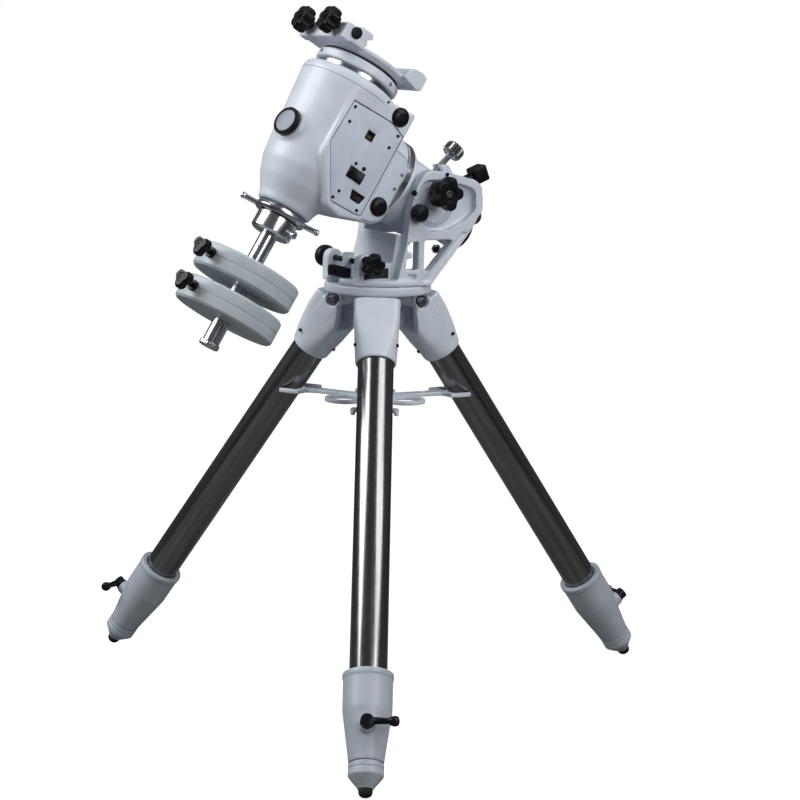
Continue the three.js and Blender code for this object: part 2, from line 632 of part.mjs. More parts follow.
function addDeclinationHead() {
  mount.add(dec);
  add(dec, "dec_housing", decHousing(), WHITE);
  add(dec, "dec_cover", decCover(), WHITE);
  add(dec, "dec_side_cover", decSideCover(), WHITE);
  add(dec, "front_cap", frontCap(), BLACK);
  add(dec, "power_switch", powerSwitch(), BLACK);
  add(dec, "circuit_board", block(22, 70, -54, -52.4, -56, 44), BOARD);
  add(dec, "dec_ring", pipe(57, 42, 91.3, 99), CHROME);
  add(dec, "dec_shaft", decShaft(), STEEL);
  add(dec, "dec_worm_wheel", wormWheel(WHEEL_R, DEC_BORE + GAP, 20, 34), BRONZE);
  add(dec, "dec_worm", at(alongY(worm(52)), WHEEL_R + WORM_R + GAP, 0, 27), STEEL);
  add(dec, "dec_motor", at(alongY(rod(17, -40, 20)), 68, 0, -30), GLASS_BLACK);
  add(dec, "clutch_ring", clutchRing(), CHROME);
  add(dec, "shaft_collar", shaftCollar(), CHROME);
  add(dec, "counterweight_shaft", counterweightShaft(), CHROME);
  add(dec, "shaft_end_cap", shaftEndCap(), CHROME);
  WEIGHT_TOPS.forEach((top, k) => {
    add(dec, "counterweight_" + (k + 1), counterweight(top), WEIGHT_GREY);
    add(dec, "weight_knob_" + (k + 1), weightKnob(top), BLACK);
  });
  add(dec, "saddle_disc", saddleDisc(), WHITE);
  add(dec, "saddle_base", saddleBase(), WHITE);
  add(dec, "saddle_jaw", saddleJaw(), WHITE);
  add(dec, "saddle_knob_1", saddleKnob(-SCREW_Y), BLACK);
  add(dec, "saddle_knob_2", saddleKnob(SCREW_Y), BLACK);
}

// ---- Assembly ----
add(mount, "tripod_head", tripodHead(), WHITE);
add(mount, "azimuth_peg", azimuthPeg(), WHITE);
for (let index = 0; index < LEGS; index += 1) addLeg(index);
add(mount, "spreader_tray", spreaderTray(), WHITE);
add(mount, "centre_rod", centreRod(), STEEL);
add(mount, "tray_knob", trayKnob(), BLACK);
add(mount, "base_yoke", baseYoke(), WHITE);
add(mount, "azimuth_knob_near", azimuthKnob(-1), BLACK);
add(mount, "azimuth_knob_far", azimuthKnob(1), BLACK);
add(mount, "altitude_lock_knob", altitudeLockKnob(), BLACK);
add(mount, "altitude_stop_knob", altitudeStopKnob(), BLACK);
add(mount, "altitude_screw_upper", altitudeScrewUpper(), CHROME);
add(mount, "altitude_screw_lower", altitudeScrewLower(), BLACK);
addPolarHead();
addDeclinationHead();

// The origin is the middle of the mount's footprint, on the ground.
const whole = new THREE.Group();
whole.add(mount);
whole.updateMatrixWorld(true);
const box = new THREE.Box3().setFromObject(whole, true);
mount.position.set(-(box.min.x + box.max.x) / 2, -(box.min.y + box.max.y) / 2, -box.min.z);

export default whole;
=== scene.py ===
# The looks of an equatorial mount on a steel tripod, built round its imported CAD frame.
# Lengths in the tables are millimetres in the frame of the part that they belong to: HUB (the tripod
# head's upper face), LEG (hinge, Z up the leg), POLAR (altitude axis, Z along the polar axis) and DEC
# (the declination axis, Z away from the weights, X back along the polar axis).
import json
import math

import bmesh
import bpy
import numpy as np
from mathutils import Matrix, Vector


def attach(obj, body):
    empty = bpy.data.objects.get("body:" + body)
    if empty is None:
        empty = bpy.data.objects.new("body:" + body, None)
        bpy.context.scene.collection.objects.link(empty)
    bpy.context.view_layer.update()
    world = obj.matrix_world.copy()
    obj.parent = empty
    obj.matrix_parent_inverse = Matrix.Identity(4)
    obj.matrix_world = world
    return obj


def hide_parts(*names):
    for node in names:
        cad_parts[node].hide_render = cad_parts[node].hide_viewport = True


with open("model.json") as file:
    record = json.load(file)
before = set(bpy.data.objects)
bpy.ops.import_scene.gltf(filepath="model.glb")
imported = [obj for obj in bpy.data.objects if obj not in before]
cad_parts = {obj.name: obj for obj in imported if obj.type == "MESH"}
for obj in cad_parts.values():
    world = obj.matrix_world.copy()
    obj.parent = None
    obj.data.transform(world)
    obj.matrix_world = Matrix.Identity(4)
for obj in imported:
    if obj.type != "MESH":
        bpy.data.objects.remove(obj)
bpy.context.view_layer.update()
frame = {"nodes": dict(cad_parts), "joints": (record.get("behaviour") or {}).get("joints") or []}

MM = 0.001
SIDES = 96  # of a large round
TURNED_SIDES = 128  # of a bar or a collar
RING_SIDES = 160  # of a polished ring
WEIGHT_SIDES = 192
SMALL_SIDES = 40
CORNER_STEPS = 6
THREAD_STEPS = 5  # heights in one turn of a thread
SHARP_ANGLE = math.radians(38)
BEVEL_ANGLE = math.radians(50)
LEGS = (1, 2, 3)
LEG_TURNS = (0, 120, 240)  # degrees about the hub

# ---- Frames ----
joints = {joint["name"]: joint for joint in frame["joints"]}


def origin_of(name):
    return Vector(joints[name]["pos_m"])


def axis_of(name):
    return Vector(joints[name]["axis"]).normalized()


def frame_at(origin, x_axis, z_axis):
    """The matrix of a frame with these axes."""
    rotation = Matrix((x_axis, z_axis.cross(x_axis), z_axis)).transposed()
    return Matrix.Translation(origin) @ rotation.to_4x4()


UP = Vector((0, 0, 1))
BACK = Vector((1, 0, 0))
HUB = frame_at(origin_of("azimuth_turn"), BACK, UP)
POLAR = frame_at(origin_of("altitude_tilt"), axis_of("dec_turn"), axis_of("ra_turn"))
DEC = frame_at(origin_of("dec_turn"), -axis_of("ra_turn"), axis_of("dec_turn"))
LEG = {
    k: frame_at(origin_of(f"leg_fold_{k}"), axis_of(f"leg_lever_turn_{k}"), -axis_of(f"leg_extend_{k}"))
    for k in LEGS
}


# ---- Shapes: a solid is (points, faces) in millimetres ----
def rounded(corners, closed):
    """Corners (a, b) or (a, b, radius); a corner with a radius becomes a soft arc."""
    line = []
    count = len(corners)
    for i, corner in enumerate(corners):
        point = np.array(corner[:2], float)
        is_end = not closed and i in (0, count - 1)
        if len(corner) < 3 or is_end:
            line.append(tuple(point))
            continue
        before = np.array(corners[i - 1][:2], float) - point
        after = np.array(corners[(i + 1) % count][:2], float) - point
        reach = np.linalg.norm(before), np.linalg.norm(after)
        cosine = np.clip(before @ after / (reach[0] * reach[1]), -1, 0.999)
        trim = min(corner[2] / math.tan(math.acos(cosine) / 2), 0.48 * min(reach))
        start = point + before / reach[0] * trim
        end = point + after / reach[1] * trim
        for k in range(CORNER_STEPS + 1):
            t = k / CORNER_STEPS
            line.append(tuple((1 - t) ** 2 * start + 2 * t * (1 - t) * point + t**2 * end))
    return line


def lathe(profile, sides=SIDES, shape=None):
    """Turns a profile of (radius, z) corners about Z. It ends on the axis, or comes back to its start."""
    closed = profile[0][:2] == profile[-1][:2]
    line = rounded(profile[:-1] if closed else profile, closed)
    points, rings, faces = [], [], []
    for radius, z in line:
        if radius < 1e-6:
            rings.append([len(points)])
            points.append((0, 0, z))
            continue
        rings.append(list(range(len(points), len(points) + sides)))
        for k in range(sides):
            angle = 2 * math.pi * k / sides
            r = shape(radius, angle, z) if shape else radius
            points.append((r * math.cos(angle), r * math.sin(angle), z))
    for low, high in zip(rings, rings[1:] + ([rings[0]] if closed else [])):
        for k in range(sides):
            n = (k + 1) % sides
            if len(low) == 1 and len(high) > 1:
                faces.append((low[0], high[n], high[k]))
            elif len(high) == 1 and len(low) > 1:
                faces.append((low[k], low[n], high[0]))
            elif len(low) > 1:
                faces.append((low[k], low[n], high[n], high[k]))
    return np.array(points, float), faces


def rod(radius, z0, z1, edge=0.0, sides=SIDES):
    tip = (edge,) if edge else ()
    return lathe([(0, z0), (radius, z0, *tip), (radius, z1, *tip), (0, z1)], sides)


def pipe(outer, inner, z0, z1, edge=0.6, sides=SIDES):
    profile = [(inner, z0, edge), (outer, z0, edge), (outer, z1, edge), (inner, z1, edge), (inner, z0)]
    return lathe(profile, sides)


def slab(outline, y0, y1):
    """An outline of (x, z) corners, made solid from y0 to y1."""
    line = rounded(outline, True)
    n = len(line)
    points = [(x, y0, z) for x, z in line] + [(x, y1, z) for x, z in line]
    faces = [(k, (k + 1) % n, n + (k + 1) % n, n + k) for k in range(n)]
    faces += [tuple(range(n)), tuple(range(2 * n - 1, n - 1, -1))]
    return np.array(points, float), faces


def block(x0, x1, y0, y1, z0, z1):
    return slab([(x0, z0), (x1, z0), (x1, z1), (x0, z1)], y0, y1)


def placed(solid, matrix):
    points, faces = solid
    m = np.array(matrix, float)
    return points @ m[:3, :3].T + m[:3, 3], faces


def turned(solid, degrees, axis="Z"):
    return placed(solid, Matrix.Rotation(math.radians(degrees), 4, axis))


def moved(solid, x, y, z):
    return placed(solid, Matrix.Translation((x, y, z)))


def along_x(solid):
    return turned(solid, 90, "Y")


def along_y(solid):
    return turned(solid, -90, "X")


def towards_near(solid):
    """Z becomes -Y, the near side."""
    return turned(solid, 90, "X")


def together(*solids):
    points, faces, base = [], [], 0
    for some_points, some_faces in solids:
        points.append(some_points)
        faces += [tuple(base + i for i in face) for face in some_faces]
        base += len(some_points)
    return np.concatenate(points), faces


def star(radius, lobes, z0, z1, depth=0.3, dish=2.0, edge=2.5):
    """A knob with round lobes and a dished face at z1, which may lie below z0."""
    if z1 < z0:
        points, faces = star(radius, lobes, -z0, -z1, depth, dish, edge)
        return points * (1, 1, -1), faces
    core = radius * 0.45

    def scalloped(r, angle, z):
        share = min(1.0, max(0.0, (r - core) / (radius - core)))
        valley = 0.5 - 0.5 * math.cos(lobes * angle)
        return r * (1 - depth * share * valley**1.6)

    profile = [
        (0, z0), (core, z0), (radius * 0.9, z0, 1.5), (radius, z0 + 0.25 * (z1 - z0), edge),
        (radius, z1 - edge, edge), (radius * 0.82, z1, edge), (core, z1, 1.2), (core * 0.9, z1 - dish, 0.8),
        (core * 0.5, z1 - dish), (core * 0.5, z1 - dish * 1.8), (0, z1 - dish * 1.8),
    ]
    return lathe(profile, SIDES * 2, scalloped)


def thread(radius, z0, z1, pitch=1.6, depth=0.55):
    """A screw with a real helical thread."""
    steps = max(4, int((z1 - z0) / pitch * THREAD_STEPS))
    heights = [z0 + (z1 - z0) * k / steps for k in range(steps + 1)]

    def helix(r, angle, z):
        phase = (z / pitch - angle / (2 * math.pi)) % 1.0
        fade = min(1.0, (z - z0) / pitch, (z1 - z) / pitch)
        return r - depth * fade * abs(2 * phase - 1)

    return lathe([(0, z0), *[(radius, z) for z in heights], (0, z1)], SMALL_SIDES, helix)


def knurled(profile, teeth, depth):
    """A turned part with ridges all round."""
    def grip(r, angle, z):
        return r - depth * (0.5 - 0.5 * math.cos(teeth * angle))

    return lathe(profile, teeth * 6, grip)


# ---- Objects ----
def as_object(name, solid):
    points, faces = solid
    mesh = bpy.data.meshes.new(name)
    mesh.from_pydata([tuple(p) for p in points * MM], [], faces)
    edit = bmesh.new()
    edit.from_mesh(mesh)
    bmesh.ops.recalc_face_normals(edit, faces=edit.faces)
    edit.to_mesh(mesh)
    edit.free()
    thing = bpy.data.objects.new(name, mesh)
    bpy.context.scene.collection.objects.link(thing)
    return thing


def applied(thing):
    """The object with its modifiers made part of its mesh."""
    graph = bpy.context.evaluated_depsgraph_get()
    graph.update()
    mesh = bpy.data.meshes.new_from_object(thing.evaluated_get(graph))
    thing.modifiers.clear()
    old = thing.data
    thing.data = mesh
    bpy.data.meshes.remove(old)
    return thing


def carve(thing, operation, solids):
    for solid in solids:
        tool = as_object("tool", solid)
        change = thing.modifiers.new("carve", "BOOLEAN")
        change.operation = operation
        change.solver = "MANIFOLD"
        change.object = tool
        applied(thing)
        bpy.data.objects.remove(tool)
    return thing


def fused(name, solids, cuts=()):
    thing = as_object(name, solids[0])
    carve(thing, "UNION", solids[1:])
    return carve(thing, "DIFFERENCE", cuts)


def cast(thing, voxel, rounds):
    """Remeshes a carved solid and softens its edges, as on a sand casting under paint."""
    remesh = thing.modifiers.new("cast", "REMESH")
    remesh.mode = "VOXEL"
    remesh.voxel_size = voxel * MM
    soft = thing.modifiers.new("soft", "SMOOTH")
    soft.factor = 0.5
    soft.iterations = rounds
    return applied(thing)


def bevelled(thing, width, segments=3):
    bevel = thing.modifiers.new("bevel", "BEVEL")
    bevel.width = width * MM
    bevel.segments = segments
    bevel.limit_method = "ANGLE"
    bevel.angle_limit = BEVEL_ANGLE
    return applied(thing)


def piece(thing, name, body, where, material, replaces=()):
    """Puts a finished object in its frame, with its finish, on its body."""
    thing.name = name
    thing.data.name = name
    thing.matrix_world = where
    thing.data.materials.clear()
    thing.data.materials.append(material)
    thing.data.polygons.foreach_set("use_smooth", [True] * len(thing.data.polygons))
    thing.data.set_sharp_from_angle(angle=SHARP_ANGLE)
    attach(thing, body)
    if replaces:
        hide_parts(*replaces)


# ---- Materials ----
def finish_material(
    name, low, high, metallic, rough, grain=(1, 1, 1), spots=40.0, fine=1500.0, bump=0.03, depth=0.00008,
    coat=0.0, rings=0.0, specular=0.5,
):
    """Colour wanders between low and high, roughness between the two of rough, with fine grain as bump.
    grain stretches the pattern along an axis of the piece; rings adds lathe marks across its Z."""
    made = bpy.data.materials.new(name)
    made.use_nodes = True
    nodes, links = made.node_tree.nodes, made.node_tree.links
    shader = nodes["Principled BSDF"]
    shader.inputs["Metallic"].default_value = metallic
    shader.inputs["Coat Weight"].default_value = coat
    shader.inputs["Specular IOR Level"].default_value = specular
    shader.inputs["Coat Roughness"].default_value = 0.12
    place = nodes.new("ShaderNodeTexCoord")
    stretch = nodes.new("ShaderNodeMapping")
    stretch.inputs["Scale"].default_value = grain
    links.new(place.outputs["Object"], stretch.inputs["Vector"])
    broad = nodes.new("ShaderNodeTexNoise")
    broad.inputs["Scale"].default_value = spots
    broad.inputs["Detail"].default_value = 5
    links.new(stretch.outputs["Vector"], broad.inputs["Vector"])
    small = nodes.new("ShaderNodeTexNoise")
    small.inputs["Scale"].default_value = fine
    small.inputs["Detail"].default_value = 3
    links.new(stretch.outputs["Vector"], small.inputs["Vector"])
    colour = nodes.new("ShaderNodeValToRGB")
    colour.color_ramp.elements[0].position = 0.35
    colour.color_ramp.elements[1].position = 0.65
    colour.color_ramp.elements[0].color = (*low, 1)
    colour.color_ramp.elements[1].color = (*high, 1)
    links.new(broad.outputs["Fac"], colour.inputs["Fac"])
    links.new(colour.outputs["Color"], shader.inputs["Base Color"])
    gloss = nodes.new("ShaderNodeMapRange")
    gloss.inputs["From Min"].default_value = 0.3
    gloss.inputs["From Max"].default_value = 0.7
    gloss.inputs["To Min"].default_value = rough[0]
    gloss.inputs["To Max"].default_value = rough[1]
    links.new(small.outputs["Fac"], gloss.inputs["Value"])
    links.new(gloss.outputs["Result"], shader.inputs["Roughness"])
    height = small.outputs["Fac"]
    if rings:
        wave = nodes.new("ShaderNodeTexWave")
        wave.wave_type = "BANDS"
        wave.bands_direction = "Z"
        wave.inputs["Scale"].default_value = rings
        wave.inputs["Distortion"].default_value = 0.6
        links.new(place.outputs["Object"], wave.inputs["Vector"])
        height = wave.outputs["Fac"]
    relief = nodes.new("ShaderNodeBump")
    relief.inputs["Strength"].default_value = bump
    relief.inputs["Distance"].default_value = depth
    links.new(height, relief.inputs["Height"])
    links.new(relief.outputs["Normal"], shader.inputs["Normal"])
    return made


WHITE = finish_material(
    "white_powder_paint", (0.655, 0.71, 0.79), (0.71, 0.765, 0.84), 0.0, (0.32, 0.48), bump=0.35, fine=900,
    depth=0.00006, coat=0.15,
)
PANEL_WHITE = finish_material(
    "panel_paint", (0.60, 0.665, 0.765), (0.645, 0.71, 0.81), 0.0, (0.34, 0.5), bump=0.3, fine=1200,
    depth=0.00005, coat=0.08,
)
FOOT_WHITE = finish_material(
    "foot_paint", (0.45, 0.495, 0.56), (0.50, 0.545, 0.61), 0.0, (0.34, 0.5), bump=0.4, fine=900,
    depth=0.00007, coat=0.1,
)
WEIGHT_GREY = finish_material(
    "weight_paint", (0.46, 0.525, 0.575), (0.52, 0.585, 0.63), 0.0, (0.36, 0.52), bump=0.5, fine=700,
    depth=0.0001, coat=0.1,
)
BLACK = finish_material(
    "black_plastic", (0.003, 0.003, 0.0045), (0.008, 0.008, 0.011), 0.0, (0.26, 0.42), bump=0.3, fine=1400,
    depth=0.00004, specular=0.22,
)
RUBBER = finish_material(
    "black_rubber", (0.016, 0.016, 0.017), (0.03, 0.03, 0.031), 0.0, (0.6, 0.8), bump=0.6, fine=1200,
    depth=0.0001, specular=0.2,
)
CHROME = finish_material(
    "chrome", (0.52, 0.545, 0.58), (0.66, 0.685, 0.72), 1.0, (0.15, 0.25), fine=500, bump=0.1, depth=0.00001,
    rings=1100,
)
DARK_CHROME = finish_material(
    "dark_chrome", (0.30, 0.30, 0.31), (0.45, 0.45, 0.46), 1.0, (0.14, 0.28), fine=500, bump=0.3,
    depth=0.00003, rings=900,
)
LEG_STEEL = finish_material(
    "polished_leg_steel", (0.19, 0.19, 0.193), (0.28, 0.28, 0.285), 1.0, (0.15, 0.25), grain=(9, 9, 0.35),
    spots=14, fine=160, bump=0.12, depth=0.00003,
)
MACHINED = finish_material(
    "machined_steel", (0.36, 0.36, 0.36), (0.5, 0.5, 0.5), 1.0, (0.2, 0.35), fine=700, bump=0.3,
    depth=0.00003, rings=1500,
)
BRONZE = finish_material(
    "bronze", (0.42, 0.26, 0.09), (0.55, 0.36, 0.15), 1.0, (0.25, 0.4), fine=700, bump=0.3, depth=0.00003,
    rings=1200,
)
BOARD = finish_material(
    "circuit_board", (0.008, 0.07, 0.02), (0.02, 0.12, 0.04), 0.0, (0.3, 0.5), fine=500, bump=0.3,
)
CAP_BLUE = finish_material(
    "cap_disc", (0.12, 0.15, 0.21), (0.17, 0.20, 0.27), 0.0, (0.2, 0.35), fine=800, bump=0.2,
)
MARKS = finish_material("printed_marks", (0.02, 0.02, 0.03), (0.05, 0.05, 0.06), 0.0, (0.4, 0.6))

# The CAD nodes that stay, mostly inside the housings.
KEPT = {
    "azimuth_peg": WHITE, "ra_shaft": MACHINED, "ra_worm_wheel": BRONZE, "ra_worm": MACHINED,
    "ra_motor": RUBBER, "polar_scope": BLACK, "circuit_board": BOARD, "dec_motor": RUBBER,
    "dec_shaft": MACHINED, "dec_worm_wheel": BRONZE, "dec_worm": MACHINED,
}
for node, material in KEPT.items():
    mesh = frame["nodes"][node].data
    mesh.materials.clear()
    mesh.materials.append(material)

# ---- Small parts that repeat, and where they go ----
SUNK = -1  # the underside of a small part, inside what it sits on
SOCKET = 0.9  # depth of the socket in a screw's head
SCREW_HOLE = 4.6  # radius of the hole for a knob's screw


def cap_screw(radius, proud=1.2):
    """A socket-head screw that stands proud of z = 0."""
    profile = [
        (0, SUNK), (radius, SUNK), (radius, proud, 0.35), (radius * 0.55, proud),
        (radius * 0.5, proud - SOCKET), (0, proud - SOCKET),
    ]
    return lathe(profile, SMALL_SIDES)


def dome_plug(radius, height):
    """A plug with a low rim and a domed top."""
    return lathe([
        (0, SUNK), (radius, SUNK), (radius, 0.9, 0.5), (radius * 0.93, 1.2, 0.4),
        (radius * 0.82, height * 0.72, 4), (radius * 0.45, height, 5), (0, height),
    ])


def hole(radius, z0, z1):
    """A small round to cut with."""
    return rod(radius, z0, z1, sides=SMALL_SIDES)


def across(solid, x, z):
    """A solid along Z, laid along Y through (x, z)."""
    return moved(along_y(solid), x, 0, z)


def outward(solid, z, turn=0):
    """A solid along Z, laid along X at a height and turned about Z."""
    return turned(moved(along_x(solid), 0, 0, z), turn)


def on_rim(screw, radius, z, turns):
    """Copies of a screw round a drum."""
    return together(*[turned(moved(along_x(screw), radius, 0, z), turn) for turn in turns])


def on_near(solid, x, y, z):
    """A small part whose axis points to the near side, put at a point."""
    return moved(towards_near(solid), x, y, z)


def both_sides(a, b):
    """The span a to b, and its mirror image."""
    return (a, b), (-b, -a)


def mirrored_pair(outline, y0, y1):
    return [slab(outline, -y1, -y0), slab(outline, y0, y1)]


def at(place, x, y, z):
    """A frame moved along its own axes, in millimetres."""
    return place @ Matrix.Translation((x * MM, y * MM, z * MM))


def tilted(place, degrees, axis):
    return place @ Matrix.Rotation(math.radians(degrees), 4, axis)


def swing(thing, degrees, axis):
    """Turns the mesh of a finished object."""
    thing.data.transform(Matrix.Rotation(math.radians(degrees), 4, axis))


# ---- Tripod head, at the hub ----
HEAD_PLATE = [(0, -14), (78, -14, 5), (78, 0, 3.5), (0, 0)]
HEAD_SKIRT = [(0, -30), (30, -30, 4), (37, -13), (0, -13)]
HINGE_X, HINGE_Z = 58, -28
TONGUE_Y = 19.4
PEG_X = -50

head_solids = [lathe(HEAD_PLATE), lathe(HEAD_SKIRT)]
head_cuts = [hole(5.7, -60, 1), moved(hole(7.5, -9, 1), PEG_X, 0, 0)]
hinge_bolts = []
for turn in LEG_TURNS:
    tongue = block(26, HINGE_X + 8, -TONGUE_Y, TONGUE_Y, HINGE_Z, -13)
    eye = across(rod(11, -TONGUE_Y, TONGUE_Y), HINGE_X, HINGE_Z)
    head_solids += [turned(tongue, turn), turned(eye, turn)]
    head_cuts.append(turned(across(hole(5.2, -30, 30), HINGE_X, HINGE_Z), turn))
    bolt = together(
        rod(5, -33, 33, 0.3, SMALL_SIDES), *[pipe(8, 4.6, *ends, 0.3) for ends in both_sides(28.1, 29.2)],
        *[rod(6.2, *ends, 0.8, 6) for ends in both_sides(29.3, 33.6)],
    )
    hinge_bolts.append(turned(across(bolt, HINGE_X, HINGE_Z), turn))
head = fused("tripod_head_casting", head_solids, head_cuts)
piece(cast(head, 1.3, 5), "tripod_head_casting", "tripod", HUB, WHITE, ["tripod_head"])
piece(as_object("hinge_bolts", together(*hinge_bolts)), "hinge_bolts", "tripod", HUB, DARK_CHROME)
centre_rod = fused(
    "centre_rod_threaded",
    [thread(5, -287, -150, pitch=2), rod(4.9, -151, -4, 0.4, SMALL_SIDES), rod(9, -50, -31, 0.8, 6)],
)
piece(centre_rod, "centre_rod_threaded", "tripod", HUB, MACHINED, ["centre_rod"])

# ---- Legs ----
FOOT_Z = -712.4
CLAMP_TOP = FOOT_Z + 158
CLAMP_BOTTOM = FOOT_Z + 36
TUBE_BOTTOM = CLAMP_BOTTOM + 62
LEVER_Z = FOOT_Z + 80
EAR_OUT = 33  # half the width over a bracket's ears
TUBE_SOCKET = 25.8  # radius
SLEEVE = [(0, -95), (28, -95), (29.2, -93.4, 1.2), (31, -62, 30), (32.4, -30, 20), (32.4, -3, 4), (0, -3)]
INNER_SLOPE = [(-60, -46), (-36, -46), (-13.5, 0), (-13.5, 30), (-60, 30)]
CLAMP = [
    (0, CLAMP_BOTTOM), (23.5, CLAMP_BOTTOM, 2), (24.5, CLAMP_BOTTOM + 10, 3), (33, CLAMP_BOTTOM + 70, 22),
    (33.2, CLAMP_TOP - 9, 1), (34.4, CLAMP_TOP - 7, 1), (34.4, CLAMP_TOP, 1.5), (0, CLAMP_TOP),
]
INNER_LEG = [
    (21.5, -200, 0.8), (21.5, CLAMP_BOTTOM - 1), (23.6, CLAMP_BOTTOM - 1.2, 0.8),
    (23.6, CLAMP_BOTTOM - 7, 0.5), (22.9, CLAMP_BOTTOM - 8, 0.4), (22.9, CLAMP_BOTTOM - 9, 0.4),
    (23.6, CLAMP_BOTTOM - 10, 0.5), (23.6, CLAMP_BOTTOM - 17, 1.2), (21.5, CLAMP_BOTTOM - 20, 1.5),
    (11.6, CLAMP_BOTTOM - 32, 4), (10.4, FOOT_Z + 2, 1), (8.5, FOOT_Z + 2), (0, FOOT_Z + 2),
    (0, CLAMP_BOTTOM), (19.5, CLAMP_BOTTOM), (19.5, -200), (21.5, -200),
]
FOOT_TIP = [
    (0, FOOT_Z + 1.8), (9.2, FOOT_Z + 1.8, 0.8), (9.6, FOOT_Z - 2, 2), (8, FOOT_Z - 6.5, 3),
    (4, FOOT_Z - 8.8, 3), (0, FOOT_Z - 9),
]
CLAMP_BOSS = [(0, 10), (12.5, 10), (11.4, 30, 4), (11, 38, 1.5), (0, 38)]
LEVER_HUB = [
    (0, 38.5), (9.4, 38.5, 0.8), (9.4, 41, 0.6), (8.4, 42, 0.5), (9.2, 50, 2), (5, 50.6, 0.5), (4.6, 49.6),
    (0, 49.6),
]
LEVER_HANDLE = [
    (0, 3), (5.4, 3), (4.6, 14, 6), (4.1, 28), (6.2, 31, 2), (7.2, 36, 3), (5.8, 41, 3), (0, 42.2),
]
HANDLE_X = 45
FRONT_IN = 18
EAR_R = 12.5
POCKET_Y = 27  # the floor of the round pocket in an ear
POCKET_R = 9.8
CUT_Y = 40  # past the ears


def square_above(radius, angle, z):
    """Round at the tube and a soft square at the hinge."""
    power = 2 + 6 * min(1.0, max(0.0, (z + 92) / 60)) ** 1.5
    return radius / (abs(math.cos(angle)) ** power + abs(math.sin(angle)) ** power) ** (1 / power)


bracket_cuts = [
    block(-45, FRONT_IN, -20, 20, -34, 20), rod(TUBE_SOCKET, -100, -40), slab(INNER_SLOPE, -50, 50),
    block(13.5, 60, -50, 50, -3, 30), along_y(hole(5.7, -CUT_Y, CUT_Y)),
]
for y0, y1 in both_sides(POCKET_Y, CUT_Y):
    bracket_cuts.append(along_y(rod(POCKET_R, y0, y1)))
    bracket_cuts.append(block(-POCKET_R, POCKET_R, y0, y1, 0, 20))
for k in LEGS:
    bracket = fused(
        f"leg_bracket_casting_{k}",
        [
            lathe(SLEEVE, SIDES, square_above), along_y(rod(EAR_R, -EAR_OUT, EAR_OUT)),
            slab([(-EAR_R, -30), (EAR_R, -30), (EAR_R, 0), (-EAR_R, 0)], -EAR_OUT, EAR_OUT),
        ],
        bracket_cuts,
    )
    cast(bracket, 1.2, 5)
    piece(bracket, bracket.name, f"leg_{k}", LEG[k], WHITE, [f"leg_bracket_{k}"])
    screws = as_object("screws", on_rim(cap_screw(2.6), 34, -72, (62, -62, 180)))
    piece(screws, f"bracket_screws_{k}", f"leg_{k}", LEG[k], BLACK)
    washers = together(*[along_y(pipe(9.5, 5.4, *ends, 0.3)) for ends in both_sides(POCKET_Y, 28)])
    piece(as_object("washers", washers), f"hinge_washers_{k}", f"leg_{k}", LEG[k], RUBBER)
    tube = as_object("tube", pipe(25.4, 23.9, TUBE_BOTTOM, -41, 0.4, TURNED_SIDES))
    piece(tube, f"leg_tube_steel_{k}", f"leg_{k}", LEG[k], LEG_STEEL, [f"leg_tube_{k}"])
    clamp = fused(
        "clamp", [lathe(CLAMP), outward(lathe(CLAMP_BOSS), LEVER_Z)],
        [
            rod(TUBE_SOCKET, TUBE_BOTTOM - 1, CLAMP_TOP + 1), rod(22, CLAMP_BOTTOM - 1, CLAMP_TOP),
            outward(hole(SCREW_HOLE, 10, 41), LEVER_Z),
        ],
    )
    cast(clamp, 1.2, 4)
    piece(
        clamp, f"leg_clamp_casting_{k}", f"leg_{k}", LEG[k], FOOT_WHITE,
        [f"leg_clamp_{k}"],
    )
    inner = as_object("inner", lathe(INNER_LEG))
    piece(
        inner, f"inner_leg_tube_{k}", f"foot_{k}", LEG[k], FOOT_WHITE,
        [f"inner_leg_{k}"],
    )
    tip = as_object("tip", lathe(FOOT_TIP))
    piece(tip, f"foot_tip_{k}", f"foot_{k}", LEG[k], RUBBER)
    lever = fused("lever", [
        along_x(lathe(LEVER_HUB)), along_x(rod(3.9, 22.6, 40, 0.4, SMALL_SIDES)),
        across(lathe(LEVER_HANDLE, SMALL_SIDES), HANDLE_X, 0),
    ])
    piece(
        lever, f"clamp_lever_arm_{k}", f"leg_lever_{k}", at(LEG[k], 0, 0, LEVER_Z), BLACK,
        [f"clamp_lever_{k}"],
    )

# ---- Spreader tray ----
TRAY_0, TRAY_1 = -173, -167
TRAY_ARM = [
    (0, -11), (60, -10, 20), (92, -9.5), (109, -14, 8), (111, -33, 3), (121, -34.5, 3), (145, -34, 2.5),
    (147, -30.7, 3), (145, -27.6, 2.5), (121, -27, 3), (120, 0), (121, 27, 3), (145, 27.6, 2.5),
    (147, 30.7, 3), (145, 34, 2.5), (121, 34.5, 3), (111, 33, 3), (109, 14, 8), (92, 9.5), (60, 10, 20),
    (0, 11),
]
PLAN = Matrix(((1, 0, 0, 0), (0, 0, 1, 0), (0, 1, 0, 0), (0, 0, 0, 1)))  # swaps Y and Z
tray_solids = [rod(24, TRAY_0, TRAY_1)]
tray_cuts = [hole(5.8, TRAY_0 - 1, TRAY_1 + 1)]
for turn in LEG_TURNS:
    tray_solids.append(turned(placed(slab(TRAY_ARM, TRAY_0, TRAY_1), PLAN), turn))
    tray_solids.append(turned(moved(rod(30, TRAY_0, TRAY_1), 50, 0, 0), turn + 60))
    tray_cuts.append(turned(moved(rod(21, TRAY_0 - 1, TRAY_1 + 1), 52, 0, 0), turn + 60))
    tray_cuts.append(turned(moved(rod(7, TRAY_0 - 1, TRAY_1 + 1), 84, 0, 0), turn))
tray = fused("tray_casting", tray_solids, tray_cuts)
piece(cast(tray, 1.1, 4), "tray_casting", "tray", HUB, WHITE, ["spreader_tray"])
